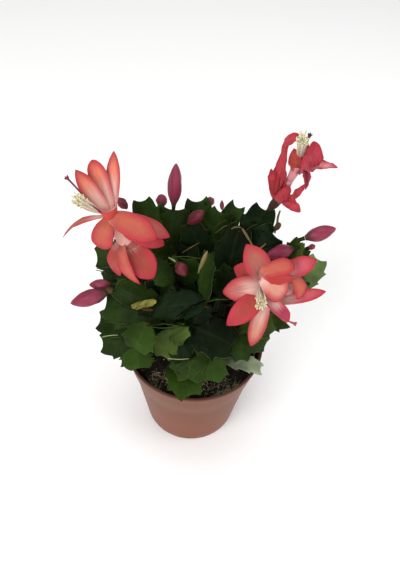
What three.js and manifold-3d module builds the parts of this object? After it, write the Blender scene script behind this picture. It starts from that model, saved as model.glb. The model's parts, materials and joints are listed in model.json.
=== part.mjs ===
// A small potted Christmas cactus: flat toothed pads in arching chains, buds and two-tiered
// blooms at their tips, rooted in peat in a thin plastic nursery pot.
// Millimetres, +Z up. The origin is the middle of the pot's foot, on the table.
// +X is to the right and -Y is towards the side that the plant shows best.
import * as THREE from "three";
import { mergeVertices } from "three/addons/utils/BufferGeometryUtils.js";
import Module from "manifold-3d";

const wasm = await Module();
wasm.setup();

// Driving dimensions

const POT_RIM_R = 52.5;
const POT_FOOT_R = 38.5;
const POT_HEIGHT = 92;
const POT_WALL = 1.1;
const COLLAR_DROP = 21;
const COLLAR_STEP = 1.5;
const LIP_OUT = 0.8;
const LIP_TALL = 2.2;
const FOOT_RECESS = 2.5;
const FOOT_WIDE = 5;
const FOOT_DISC_R = 12;
const FOOT_NOTCHES = 6;
const FOOT_NOTCH_WIDE = 14;
const FOOT_NOTCH_TALL = 1.6;
const DRAIN_HOLES = 6;
const DRAIN_HOLE_R = 3.5;
const DRAIN_RING_R = 25;
const DRAIN_SIDES = 8;
const FOOT_EASE = 1.5;
const FLOOR_EASE = 1;
const LIP_EASE = 0.4;
const HAIR = 0.01;
const SIDES = 36;

const SOIL_TOP = 84;
const SOIL_BUMP = 1.3;
const GAP = 0.3;
const ROOT_Z = SOIL_TOP + 4;
const HOLE_DEEP = 12;
const STUB_R = 2.2;
const STUB_SIDES = 6;
const HOLE_R = STUB_R + GAP + 0.2;

const EDGE_THICK = 0.8;
const PAD_RIB_THICK = 2.2;
const PAD_SUNK = 2.4;
const WOODY_WIDTH = 15;
const WOODY_THICK = 4;
const PETAL_RIB_THICK = 1.4;
const PETAL_SUNK = 3;
const SLIVER = 0.15;
const SPUR_R = 1.6;
const SPUR_DEEP = 3;
const SPUR_SIDES = 6;

const GREEN = { color: 0x2c4a22, roughness: 0.45, metalness: 0 };
const TERRACOTTA = { color: 0xa06a58, roughness: 0.5, metalness: 0 };
const MAGENTA = { color: 0x8c2f58, roughness: 0.45, metalness: 0 };
const CORAL = { color: 0xd8604f, roughness: 0.5, metalness: 0 };
const CRIMSON = { color: 0xc43a4e, roughness: 0.55, metalness: 0 };
const CREAM = { color: 0xe4dcae, roughness: 0.7, metalness: 0 };
const PEAT = { color: 0x1d1714, roughness: 1, metalness: 0 };

// Small helpers

const v = (x, y, z) => new THREE.Vector3(x, y, z);
const vec = (p) => v(...p);
const rad = THREE.MathUtils.degToRad;

// A unit vector from an azimuth (0 is +X, 90 is +Y) and an elevation, in degrees.
const heading = (azimuth, elevation) =>
  v(
    Math.cos(rad(azimuth)) * Math.cos(rad(elevation)),
    Math.sin(rad(azimuth)) * Math.cos(rad(elevation)),
    Math.sin(rad(elevation)),
  );

// The part of a direction that is square to an axis, at unit length.
const squareTo = (direction, axis) =>
  direction.clone().addScaledVector(axis, -direction.dot(axis)).normalize();

function closed(places, corners) {
  const [vertProperties, triVerts] = [Float32Array.from(places), Uint32Array.from(corners)];
  return new wasm.Manifold(new wasm.Mesh({ numProp: 3, vertProperties, triVerts }));
}

// A closed solid from its points and triangles, turned right side out.
function solid(points, triangles) {
  const places = points.flatMap((p) => [p.x, p.y, p.z]);
  const body = closed(places, triangles.flat());
  if (body.volume() > 0) return body;
  return closed(places, triangles.map(([a, b, c]) => [a, c, b]).flat());
}

function solidOf(geometry) {
  const plain = geometry.clone();
  plain.deleteAttribute("normal");
  plain.deleteAttribute("uv");
  const merged = mergeVertices(plain, 1e-4);
  return closed(merged.attributes.position.array, merged.index.array);
}

function geometryOf(body) {
  const mesh = body.getMesh();
  const points = new Float32Array(mesh.numVert * 3);
  for (let i = 0; i < mesh.numVert; i++)
    points.set(mesh.vertProperties.subarray(i * mesh.numProp, i * mesh.numProp + 3), i * 3);
  return new THREE.BufferGeometry()
    .setAttribute("position", new THREE.BufferAttribute(points, 3))
    .setIndex(new THREE.BufferAttribute(mesh.triVerts, 1));
}

const joined = (bodies) => wasm.Manifold.union(bodies);

// A fused body without its slivers, and without loose crumbs and sealed hollows.
function tidied(body) {
  const bodies = body.asOriginal().simplify(SLIVER).decompose();
  return bodies.sort((a, b) => b.volume() - a.volume())[0];
}

const plant = new THREE.Group();

function addNode(name, body, finish) {
  const geometry = geometryOf(body);
  geometry.computeVertexNormals();
  const mesh = new THREE.Mesh(geometry, new THREE.MeshStandardMaterial(finish));
  mesh.name = name;
  plant.add(mesh);
}

// A turned shape about Z, from [radius, height] points that start and end on the axis, first
// along its underside.
function turned(profile) {
  const lathe = new THREE.LatheGeometry(profile.map(([r, z]) => new THREE.Vector2(r, z)), SIDES);
  return lathe.rotateX(Math.PI / 2);
}

// The pot: a thin tapered wall with a collar under its lip, and a floor raised on a foot ring

const collarFoot = POT_HEIGHT - COLLAR_DROP;
const taper = (POT_RIM_R - LIP_OUT - POT_FOOT_R) / POT_HEIGHT;
const outerR = (z) => POT_FOOT_R + taper * z - (z < collarFoot ? COLLAR_STEP : 0);

const footOut = outerR(0) - FOOT_EASE;
const footIn = POT_FOOT_R - COLLAR_STEP - FOOT_WIDE;
const lipFoot = POT_HEIGHT - LIP_TALL;
const floorTop = FOOT_RECESS + POT_WALL;
const stepFoot = collarFoot - COLLAR_STEP;

const potProfile = [
  [0, 0],
  [FOOT_DISC_R, 0],
  [FOOT_DISC_R + FOOT_EASE, FOOT_RECESS],
  [footIn - FOOT_EASE, FOOT_RECESS],
  [footIn, 0],
  [footOut, 0],
  [outerR(FOOT_EASE), FOOT_EASE],
  [outerR(collarFoot - HAIR), stepFoot],
  [outerR(collarFoot), collarFoot],
  [outerR(lipFoot), lipFoot],
  [POT_RIM_R, lipFoot + LIP_EASE],
  [POT_RIM_R, POT_HEIGHT - LIP_EASE],
  [POT_RIM_R - LIP_EASE, POT_HEIGHT],
  [outerR(POT_HEIGHT) - POT_WALL, POT_HEIGHT],
  [outerR(collarFoot) - POT_WALL, collarFoot + LIP_EASE],
  [outerR(collarFoot - HAIR) - POT_WALL, stepFoot],
  [outerR(floorTop) - POT_WALL - FLOOR_EASE, floorTop],
  [0, floorTop],
];

function potBody() {
  const drains = Array.from({ length: DRAIN_HOLES }, (_, i) => {
    const turn = (i * 360) / DRAIN_HOLES;
    const [from, to] = [-FOOT_RECESS, 2 * floorTop].map((z) =>
      heading(turn, 0).multiplyScalar(DRAIN_RING_R).setZ(z),
    );
    return cone(from, to, DRAIN_HOLE_R, DRAIN_HOLE_R, DRAIN_SIDES);
  });
  const notches = Array.from({ length: FOOT_NOTCHES }, (_, i) => {
    const notch = new THREE.BoxGeometry(3 * FOOT_WIDE, FOOT_NOTCH_WIDE, 2 * FOOT_NOTCH_TALL);
    notch.translate(POT_FOOT_R, 0, 0);
    notch.rotateZ(((i + 0.5) * 2 * Math.PI) / FOOT_NOTCHES);
    return solidOf(notch);
  });
  const full = solidOf(turned(potProfile));
  return [...drains, ...notches].reduce((body, cut) => body.subtract(cut), full);
}

// The pads and petals: thin blades with a thicker rib

// A blade's shape is half of its outline, from its root to its end, as [share along, share out],
// and the stations of its rib. A pad has two teeth along each side and a horn at each corner.
const PAD = {
  edge: [
    [0, 0.16],
    [0.2, 0.66],
    [0.42, 0.99],
    [0.46, 0.85],
    [0.73, 0.98],
    [0.77, 0.8],
    [1.02, 0.5],
  ],
  rib: [0, 0.35, 0.7, 0.97],
  sunk: PAD_SUNK,
  ribThick: PAD_RIB_THICK,
};
// An old pad near the soil has gone woody: narrow, thick, with its teeth worn away.
const WOODY_PAD = {
  edge: [
    [0, 0.3],
    [0.35, 1],
    [0.75, 1],
    [1, 0.5],
  ],
  rib: [0, 0.5, 1],
  sunk: PAD_SUNK,
  ribThick: WOODY_THICK,
};
const PETAL = {
  edge: [
    [0, 0.36],
    [0.32, 0.86],
    [0.66, 1],
    [0.92, 0.42],
  ],
  rib: [0, 0.36, 0.7, 1.02],
  sunk: PETAL_SUNK,
  ribThick: PETAL_RIB_THICK,
};
const MOUND_CENTRE = v(0, 5, 95);

// A blade as a closed solid: its middle surface is ruled from the rib to the outline, arched
// along its length by bend and folded up along the rib by fold, both as shares of its size.
function blade(shape, base, tip, width, face, bend = 0, fold = 0) {
  const axis = tip.clone().sub(base).normalize();
  const start = base.clone().addScaledVector(axis, -shape.sunk);
  const length = tip.distanceTo(start);
  const middle = start.clone().lerp(tip, 0.5);
  const outward = face ? heading(...face) : middle.sub(MOUND_CENTRE);
  const normal = squareTo(outward, axis);
  const side = axis.clone().cross(normal);
  const at = (along, out, up) => {
    const lift = bend * length * 4 * along * (1 - along) + (fold * Math.abs(out) * width) / 2;
    const ribShare = 1 - Math.min(1, Math.abs(out));
    const thick = EDGE_THICK + (shape.ribThick - EDGE_THICK) * ribShare;
    return start
      .clone()
      .addScaledVector(axis, along * length)
      .addScaledVector(side, (out * width) / 2)
      .addScaledVector(normal, lift + (up * thick) / 2);
  };
  const points = [];
  const add = (along, out) => {
    points.push(at(along, out, 1), at(along, out, -1));
    return points.length - 2;
  };
  const rib = shape.rib.map((t) => ({ t, i: add(t, 0) }));
  const left = shape.edge.map(([t, w]) => ({ t, i: add(t, w) }));
  const right = shape.edge.map(([t, w]) => ({ t, i: add(t, -w) }));
  const triangles = [];
  const bothFaces = (a, b, c) => triangles.push([a, b, c], [a + 1, c + 1, b + 1]);
  // Fills one half between the rib and the outline, always stepping on the line that lags.
  const fillHalf = (edge, flip) => {
    let r = 0;
    let e = 0;
    while (r < rib.length - 1 || e < edge.length - 1) {
      const edgeDone = e === edge.length - 1;
      const ribLags = r < rib.length - 1 && (edgeDone || rib[r + 1].t < edge[e + 1].t);
      const [a, b] = [rib[r].i, edge[e].i];
      const c = ribLags ? rib[++r].i : edge[++e].i;
      if (flip) bothFaces(a, c, b);
      else bothFaces(a, b, c);
    }
  };
  fillHalf(left, true);
  fillHalf(right, false);
  const loop = [rib[0], ...right, rib.at(-1), ...left.toReversed()].map((p) => p.i);
  loop.forEach((a, k) => {
    const b = loop[(k + 1) % loop.length];
    triangles.push([a, a + 1, b + 1], [a, b + 1, b]);
  });
  return solid(points, triangles);
}

const padBlade = (base, tip, width, ...rest) =>
  blade(width > WOODY_WIDTH ? PAD : WOODY_PAD, base, tip, width, ...rest);

// A straight round rod or cone from one point to another.
function cone(from, to, fromR, toR, sides) {
  const body = new THREE.CylinderGeometry(toR, fromR, from.distanceTo(to), sides);
  const axis = to.clone().sub(from).normalize();
  body.applyQuaternion(new THREE.Quaternion().setFromUnitVectors(v(0, 1, 0), axis));
  const middle = from.clone().lerp(to, 0.5);
  body.translate(middle.x, middle.y, middle.z);
  return solidOf(body);
}

// The stems. A pad is [where it grows from, its tip, width, the way it faces, bend, fold].
// It grows from joint 0, the root, from joint n, the tip of the n-th pad, or from a point on the
// side of a pad. It faces an [azimuth, elevation], or null for away from the plant's middle.
const VIEW = [-92, 48];
const UPWARD = [90, 42];
const STEMS = [
  {
    name: "stem_front_low",
    root: [-8, -22],
    pads: [
      [0, [-11, -31, 109], 14, null, 0.05, 0],
      [1, [0, -58, 105], 27, [-80, 58], 0.1, 0.14],
    ],
  },
  {
    name: "stem_front_middle",
    root: [6, -22],
    pads: [
      [0, [8, -28, 112], 14, null, 0, 0],
      [1, [9, -37, 131], 16, null, 0, 0],
      [2, [11, -50, 115], 28, [-90, 35], 0.08, 0.3],
      [2, [-11, -50, 119], 24, [-100, 60], 0.1, 0],
    ],
  },
  {
    name: "stem_front_tall",
    root: [-2, -10],
    pads: [
      [0, [-2, -16, 116], 14, null, 0, 0],
      [1, [-2, -26, 143], 22, null, 0, 0],
      [2, [26, -36, 138], 32, [-80, 60], 0.12, 0],
      [2, [-17, -44, 133], 28, [-110, 50], 0.08, 0],
      [2, [5, -18, 160], 20, null, 0, 0],
      [5, [-13, -27, 152], 22, UPWARD, 0.05, 0],
      [5, [23, -10, 155], 16, UPWARD, 0.05, 0],
      [5, [-29, -17, 148], 22, [-95, 52], 0.06, 0],
      [5, [5, 4, 180], 24, [-150, 20], 0, 0.1],
      [2, [-32, -27, 143], 24, UPWARD, 0.05, 0],
      [10, [-40, -34, 123], 26, [-100, 45], 0.06, 0],
      [11, [-36, -41, 111], 26, [-100, 40], 0.05, 0.05],
      [[-15, -32, 145], [-20, -44, 131], 22, [-100, 35], 0.05, 0.1],
      [[-11, -31, 146], [-2, -41, 143], 15, [-90, 50], 0, 0],
    ],
  },
  {
    name: "stem_front_right",
    root: [18, -18],
    pads: [
      [0, [22, -27, 108], 14, null, 0, 0],
      [1, [49, -33, 107], 20, [90, 75], 0.08, 0],
      [1, [31, -23, 135], 16, null, 0, 0],
      [3, [33, -37, 122], 17, [-80, 35], 0.05, 0],
      [3, [51, -20, 119], 20, [-70, 40], 0.06, 0],
      [3, [55, -8, 131], 20, [-40, 50], 0.06, 0],
    ],
  },
  {
    name: "stem_left",
    root: [-14, -2],
    pads: [
      [0, [-18, -8, 114], 16, null, 0, 0],
      [1, [-22, -12, 139], 16, null, 0, 0],
      [2, [-65, -2, 133], 36, [-100, 50], 0.08, 0],
      [2, [-57, 0, 150], 22, null, 0.06, 0],
      [2, [-18, -3, 158], 15, null, 0, 0],
      [5, [-31, 0, 177], 17, [-70, 40], 0, 0],
      [1, [-36, -18, 127], 16, null, 0, 0],
      [7, [-69, -9, 121], 24, [-110, 60], 0.08, 0],
      [1, [-34, -20, 116], 15, null, 0, 0],
      [9, [-66, -22, 111], 24, [-110, 50], 0.1, 0],
      [[-42, -13, 143], [-25, -18, 158], 9, VIEW, 0.04, 0],
    ],
  },
  {
    name: "stem_left_back",
    root: [-16, 8],
    pads: [
      [0, [-26, 11, 112], 16, null, 0, 0],
      [1, [-41, 14, 138], 22, null, 0, 0],
      [2, [-69, 14, 137], 24, [-110, 45], 0.06, 0],
      [2, [-50, 22, 157], 22, null, 0, 0],
      [4, [-73, 22, 153], 25, [-110, 40], 0.06, 0],
      [[-45, 17, 146], [-71, 19, 145], 20, UPWARD, 0.05, 0],
    ],
  },
  {
    name: "stem_back_left",
    root: [-8, 14],
    pads: [
      [0, [-15, 19, 114], 15, null, 0, 0],
      [1, [-23, 25, 146], 18, null, 0, 0],
      [2, [-20, 46, 183], 38, VIEW, -0.03, 0],
      [2, [-34, 33, 164], 22, VIEW, 0, 0],
      [4, [-43, 46, 185], 22, VIEW, 0, 0],
    ],
  },
  {
    name: "stem_back",
    root: [4, 17],
    pads: [
      [0, [4, 22, 116], 15, null, 0, 0],
      [1, [3, 30, 148], 17, null, 0, 0],
      [2, [14, 46, 183], 25, VIEW, -0.03, 0],
      [2, [-4, 54, 185], 27, VIEW, 0, 0],
      [2, [-8, 38, 176], 23, VIEW, 0.05, 0],
      [2, [25, 54, 182], 20, VIEW, 0, 0],
    ],
  },
  {
    name: "stem_back_right",
    root: [12, 10],
    pads: [
      [0, [20, 17, 118], 16, null, 0, 0],
      [1, [31, 28, 156], 22, VIEW, 0, 0],
      [2, [43, 45, 189], 27, VIEW, -0.03, 0],
      [2, [51, 34, 176], 31, VIEW, 0, 0],
    ],
  },
  {
    name: "stem_right",
    root: [20, 2],
    pads: [
      [0, [35, 6, 110], 16, null, 0, 0],
      [1, [53, 11, 128], 22, null, 0, 0],
      [2, [72, 15, 142], 22, null, 0, 0],
      [3, [82, 21, 163], 21, [-100, 30], 0, 0],
      [2, [59, 22, 154], 20, null, 0, 0],
      [5, [69, 30, 174], 16, [-140, 20], 0, 0],
      [5, [74, 30, 168], 18, [-60, 40], 0, 0],
      [1, [64, -4, 123], 24, null, 0.08, 0],
    ],
  },
  {
    name: "stem_centre",
    root: [8, 0],
    pads: [
      [0, [12, 0, 118], 14, null, 0, 0],
      [1, [16, 0, 146], 20, null, 0, 0],
      [2, [21, 8, 168], 17, [-110, 40], 0, 0],
      [2, [25, 33, 172], 30, VIEW, -0.05, 0.1],
    ],
  },
  {
    name: "stem_heart",
    root: [-4, 4],
    pads: [
      [0, [-6, 6, 118], 14, null, 0, 0],
      [1, [-9, 8, 147], 20, VIEW, 0, 0],
      [2, [-9, 9, 172], 24, [-90, 20], 0, 0],
      [2, [-8, 24, 169], 22, [-70, 20], 0, 0],
    ],
  },
];

// The far side of the plant is hidden in the view, so its stems follow a rule: each leans out
// at its own azimuth, with a pad that hangs over the rim and a pad or two higher up.
const FAR_AZIMUTHS = [36, 58, 84, 115, 141];
const FAR_JITTER = 1.2;
const FAR_JOINTS = [
  { from: 0, reach: 34, height: 109, width: 13 },
  { from: 1, reach: 50, height: 124, width: 16 },
  { from: 2, reach: 70, height: 108, width: 26 },
  { from: 2, reach: 63, height: 144, width: 23, turn: -6 },
  { from: 2, reach: 58, height: 158, width: 20, turn: 8 },
];
const FAR_ROOT_R = 27;

// A small linear congruential generator, so that the draw is the same on each run.
function seeded(seed) {
  let state = seed;
  return () => {
    state = (state * 1103515245 + 12345) % 2147483648;
    return state / 2147483648;
  };
}

function farStem(azimuth, k) {
  const draw = seeded(40 + k);
  const inward = Math.sign(90 - azimuth);
  const jitter = () => (draw() - 0.5) * 2 * FAR_JITTER;
  const place = (reach, height, turn) => {
    const out = heading(azimuth + turn, 0).multiplyScalar(reach);
    return [out.x + jitter(), out.y + jitter(), height + jitter()];
  };
  const out = heading(azimuth, 0).multiplyScalar(FAR_ROOT_R);
  return {
    name: `stem_far_${k + 1}`,
    root: [out.x, out.y],
    pads: FAR_JOINTS.map(({ from, reach, height, width, turn = 0 }) => [
      from,
      place(reach, height, turn * inward),
      width,
      null,
      0.08,
      0,
    ]),
  };
}

const ALL_STEMS = [...STEMS, ...FAR_AZIMUTHS.map(farStem)];

// The buds: [the tip that it grows from, the way to its point, radius at its middle]. A short
// green spur of its stem carries each one.
const SPUR_OUT = 1.5;
const BUDS = [
  { name: "bud_1", stem: "stem_back_left", base: [-20, 46, 183], point: [-18, 52, 214], r: 4.8 },
  { name: "bud_2", stem: "stem_back_left", base: [-28, 47, 181], point: [-30, 60, 182], r: 4 },
  { name: "bud_3", stem: "stem_back", base: [-10, 36, 177], point: [1, 34.5, 192], r: 4.2 },
  { name: "bud_4", stem: "stem_heart", base: [-15, 7, 171], point: [-8, -5, 165], r: 4.2 },
  { name: "bud_5", stem: "stem_back", base: [3, 54, 182], point: [7, 64, 176.5], r: 3.2 },
  { name: "bud_6", stem: "stem_right", base: [70, 30, 176], point: [92, 34, 184], r: 5 },
  { name: "bud_7", stem: "stem_right", base: [65.5, 26, 170.5], point: [44.5, 14, 173], r: 5 },
  { name: "bud_8", stem: "stem_left", base: [-60, -4, 147], point: [-87, -9, 138], r: 5.6 },
  { name: "bud_9", stem: "stem_left", base: [-58, 3, 149.5], point: [-75, 3.5, 147.5], r: 3.8 },
  { name: "bud_10", stem: "stem_right", base: [75, 30, 167], point: [79, 27, 173], r: 2 },
];

// A bud is round in the middle and pointed, from its flat foot on its spur.
const BUD_PROFILE = [
  [0, 0],
  [0.34, 0],
  [0.72, 0.18],
  [1, 0.42],
  [0.86, 0.68],
  [0.42, 0.9],
  [0, 1],
];
const BUD_SIDES = 8;

function budBody({ base, point, r }) {
  const axis = vec(point).sub(vec(base)).normalize();
  const foot = vec(base).addScaledVector(axis, SPUR_OUT + GAP);
  const length = foot.distanceTo(vec(point));
  const profile = BUD_PROFILE.map(([out, along]) => new THREE.Vector2(out * r, along * length));
  const body = new THREE.LatheGeometry(profile, BUD_SIDES);
  body.applyQuaternion(new THREE.Quaternion().setFromUnitVectors(v(0, 1, 0), axis));
  body.translate(foot.x, foot.y, foot.z);
  return solidOf(body);
}

function spur({ base, point }, radius) {
  const axis = vec(point).sub(vec(base)).normalize();
  const end = vec(base).addScaledVector(axis, SPUR_OUT);
  return cone(vec(base).addScaledVector(axis, -SPUR_DEEP), end, radius, radius, SPUR_SIDES);
}

// The blooms. Each has an ovary at its base, a tube that runs through its bends to the mouth,
// petals as [root, tip, width, the way they face, bend, fold], a style and a brush of stamens.
const BLOOMS = [
  {
    name: "bloom_left",
    stem: "stem_left",
    finish: CORAL,
    base: [-31, 0, 178],
    point: [-46, 3, 192],
    tube: [
      [-46, 3, 192, 5],
      [-54.5, 3, 204.5, 3.6],
      [-56, 4, 215.5, 5.8],
    ],
    petals: [
      [[-58, 5, 215], [-71.5, -2, 248], 11, VIEW, -0.03, 0.12],
      [[-56, 8.5, 214], [-64, 10, 247], 11.5, VIEW, -0.03, 0.1],
      [[-53, 9, 214], [-52, 14, 251], 8.5, VIEW, -0.03, 0.12],
      [[-59, 5, 214], [-70, 4, 230], 6, [-120, 30], 0.05, 0.1],
      [[-57.5, 3, 209], [-87, 2, 191], 5, [-170, 60], 0.16, 0.1],
      [[-57, 1, 206.5], [-62, -8, 190], 15, [-110, 30], 0.15, 0],
      [[-52, 1.5, 208], [-25, -9, 206], 17, [-80, 55], 0.12, 0],
      [[-51, 6, 207], [-19.5, 8, 191.5], 12, [-60, 60], 0.12, 0],
      [[-51, 5, 202], [-23, 6, 186], 15, [-60, 50], 0.12, 0],
      [[-45, 0, 190], [-28.5, -12, 173], 19, [-80, 40], 0.08, 0],
      [[-47.5, 0, 191], [-37, -14, 169], 11, [-130, 20], 0.18, 0.2],
      [[-50, 2, 188], [-54, -3, 165], 14, [-130, 20], 0.12, 0.1],
      [[-46, 8, 190], [-40, 22, 172], 15, [80, 30], 0.12, 0],
      [[-51, 7, 205], [-43, 24, 189], 14, [80, 60], 0.12, 0],
    ],
    style: [[-75, -8.5, 250]],
    stamens: [-69, -12, 235],
  },
  {
    name: "bloom_front",
    stem: "stem_right",
    finish: CORAL,
    base: [76, 13, 148],
    point: [62, 2, 155],
    tube: [
      [62, 2, 155, 4.4],
      [43, -8, 169, 7.2],
    ],
    petals: [
      [[43, -5, 173], [28.5, -3, 200], 17, VIEW, 0.08, 0.08],
      [[42, -3, 169], [23, 0, 175.5], 15, VIEW, 0.08, 0],
      [[43, -9, 169], [16.5, -14, 166], 17, VIEW, 0.1, 0.08],
      [[43, -12, 166], [20.5, -31, 153.5], 15, VIEW, 0.1, 0.08],
      [[45, -12, 164], [38.5, -31, 131.5], 13, VIEW, 0.08, 0.12],
      [[48, -12, 163], [68, -16.5, 141.5], 8, [-60, 45], 0.12, 0.25],
      [[44, -4, 174], [64, 2, 174.5], 21, [-90, 18], 0.12, -0.62],
      [[58, 4, 170], [76.5, 6, 180.5], 13, [-80, 50], 0.12, 0],
      [[62, 2, 168], [70.5, -3, 152], 11, [-60, 50], 0.25, -0.1],
      [[58, -4, 153], [88, 3, 153.6], 8, [-80, 60], 0.06, 0.2],
      [[60, 5, 160], [64, 20, 166], 12, [90, 60], 0.12, 0],
    ],
    style: [
      [45, -18, 168],
      [65, -27, 154],
    ],
    stamens: [40, -28, 169],
  },
  {
    name: "bloom_back",
    stem: "stem_back_right",
    finish: CRIMSON,
    base: [45, 43, 188],
    point: [50.5, 39, 203],
    tube: [
      [50.5, 39, 203, 3],
      [54, 36, 220, 2.7],
      [57, 31, 238, 4.8],
    ],
    petals: [
      [[47.5, 40, 203], [41.5, 38, 227.5], 6.5, VIEW, -0.03, 0.3],
      [[50, 37.5, 204], [48.5, 35, 231], 7, [-110, 40], 0.02, 0.3],
      [[50, 39, 206], [44.9, 31, 255.9], 8.5, [-130, 40], 0.03, 0.3],
      [[45.2, 31.5, 252], [51.1, 29, 260.5], 5.5, [-110, 40], 0.12, 0.2],
      [[56, 30.5, 236], [52.4, 27, 253], 8, [-110, 40], 0.12, 0.3],
      [[59, 29.5, 236], [61.5, 24, 259.5], 13, [-60, 40], 0.15, 0.35],
      [[60, 29, 237], [76.7, 17, 247], 7.5, [-60, 60], 0.06, 0.25],
      [[59, 29.5, 237], [62.5, 23, 224.5], 6, [-60, 20], 0.15, 0.4],
      [[51.5, 38, 204], [63.1, 30, 223.4], 8, [-60, 30], 0.1, 0.3],
      [[52, 38.5, 203.5], [65, 33, 197.5], 9, [-70, 40], 0.12, 0.2],
      [[51, 40, 205], [48, 50, 226], 9, [100, 10], 0.1, 0.2],
      [[57, 33, 235], [57, 42, 252], 9, [90, 10], 0.1, 0.25],
    ],
    style: [[57.5, 21, 265]],
    stamens: [54, 21, 261.5],
  },
];
const TUBE_SIDES = 10;
const OVARY_R = 2.6;
const THROAT_FROM = 0.55;
const TUBE_WALL = 1;
const STYLE_R = 0.6;
const STIGMA_R = 1.4;
const BRUSH_R = 0.7;
const KNOB_OUT = 1.3;
const STYLE_OUT = 0.6;
const BRUSH_OUT = -0.5;
const FORK_AT = 1.5;
const FILAMENTS = 6;
const FILAMENT_R = 0.4;
const ANTHER_R = 0.8;
const FILAMENT_SPREAD = 3.5;
const ROD_SIDES = 5;
const ROOM = 0.5;

// The tube's points from the ovary's foot to the mouth, as { at, r }.
function tubePoints({ base, point, tube }) {
  const axis = vec(point).sub(vec(base)).normalize();
  const foot = vec(base).addScaledVector(axis, SPUR_OUT + GAP);
  return [
    { at: foot, r: SPUR_R },
    { at: foot.clone().lerp(vec(tube[0]), 0.45), r: OVARY_R },
    ...tube.map(([x, y, z, r]) => ({ at: v(x, y, z), r })),
  ];
}

// A closed round hose through points that each have a radius.
function hose(points, sides) {
  const rings = points.map(({ at, r }, i) => {
    const before = points[Math.max(0, i - 1)].at;
    const after = points[Math.min(points.length - 1, i + 1)].at;
    const along = after.clone().sub(before).normalize();
    const across = squareTo(heading(0, 0), along);
    const up = along.clone().cross(across);
    return Array.from({ length: sides }, (_, k) => {
      const turn = (k * 2 * Math.PI) / sides;
      const out = across.clone().multiplyScalar(Math.cos(turn)).addScaledVector(up, Math.sin(turn));
      return at.clone().addScaledVector(out, r);
    });
  });
  const foot = points.length * sides;
  const triangles = [];
  for (let k = 0; k < sides; k++) {
    const next = (k + 1) % sides;
    triangles.push([foot, k, next], [foot + 1, foot - sides + next, foot - sides + k]);
    for (let i = 0; i < foot - sides; i += sides)
      triangles.push([i + k, i + sides + k, i + next], [i + next, i + sides + k, i + sides + next]);
  }
  return solid([...rings.flat(), points[0].at, points.at(-1).at], triangles);
}

const rod = (points, r, sides) => hose(points.map((at) => ({ at, r })), sides);

function knob(at, radius) {
  const ball = new THREE.OctahedronGeometry(radius);
  ball.translate(at.x, at.y, at.z);
  return solidOf(ball);
}

function addBloom(bloom) {
  const points = tubePoints(bloom);
  const [throat, mouth] = points.slice(-2);
  const axis = mouth.at.clone().sub(throat.at).normalize();
  const floor = throat.at.clone().lerp(mouth.at, THROAT_FROM);
  const floorR = throat.r + (mouth.r - throat.r) * THROAT_FROM - TUBE_WALL;

  // The style and the stem of the brush stand side by side on the floor of the throat.
  const seat = floor.clone().addScaledVector(axis, GAP);
  const aside = squareTo(heading(0, 0), axis);
  const at = (share, offset) =>
    seat.clone().lerp(mouth.at, share).addScaledVector(aside, offset * (floorR - 1));
  const stylePath = [at(0, STYLE_OUT), at(1, STYLE_OUT), ...bloom.style.map(vec)];
  const brushPath = [at(0, BRUSH_OUT), at(FORK_AT, BRUSH_OUT)];

  const petals = bloom.petals.map(([root, tip, ...rest]) =>
    blade(PETAL, vec(root), vec(tip), ...rest),
  );
  const beyond = mouth.at.clone().addScaledVector(axis, 2);
  const room = [
    cone(floor, beyond, floorR, mouth.r - TUBE_WALL, TUBE_SIDES),
    rod(stylePath, STYLE_R + ROOM, ROD_SIDES),
    ...brush(brushPath, vec(bloom.stamens), ROOM),
  ];
  const full = joined([hose(points, TUBE_SIDES), ...petals]);
  const body = room.reduce((rest, cut) => rest.subtract(cut), full);
  addNode(bloom.name, tidied(body), bloom.finish);

  const style = [rod(stylePath, STYLE_R, ROD_SIDES), knob(stylePath.at(-1), STIGMA_R)];
  addNode(`${bloom.name}_style`, tidied(joined(style)), MAGENTA);
  const stamens = brush(brushPath, vec(bloom.stamens), 0);
  addNode(`${bloom.name}_stamens`, tidied(joined(stamens)), CREAM);
}

// A stem of fused filaments that fan out from their fork, each thicker at its anther. The same
// shape made thicker all round is the room that the petals leave for it.
function brush(path, middle, extra) {
  const fork = path.at(-1);
  const spread = middle.clone().sub(fork).normalize();
  const across = squareTo(heading(0, 0), spread);
  const up = spread.clone().cross(across);
  const stalkR = BRUSH_R + extra;
  const pieces = [rod(path, stalkR, ROD_SIDES), knob(fork, stalkR * KNOB_OUT)];
  for (let i = 0; i < FILAMENTS; i++) {
    const angle = (i * 2 * Math.PI) / FILAMENTS;
    const reach = FILAMENT_SPREAD * (i % 2 ? 1 : 0.5);
    const end = middle
      .clone()
      .addScaledVector(across, reach * Math.cos(angle))
      .addScaledVector(up, reach * Math.sin(angle));
    pieces.push(cone(fork, end, FILAMENT_R + extra, ANTHER_R + extra, 3));
  }
  return pieces;
}

// The soil fills the pot to just under the rim, with an uneven top and a plain hole for each
// stem's foot.
const soilFoot = floorTop + GAP;
const soilR = (z) => outerR(z) - POT_WALL - GAP;
const soilEdge = SOIL_TOP - 2 * SOIL_BUMP;
const soilRings = [0, 13, 26, 38, soilR(soilEdge) - GAP];
const soilBump = (x, y) => SOIL_BUMP * Math.sin(0.23 * x + 1) * Math.cos(0.19 * y + 0.11 * x);

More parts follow.
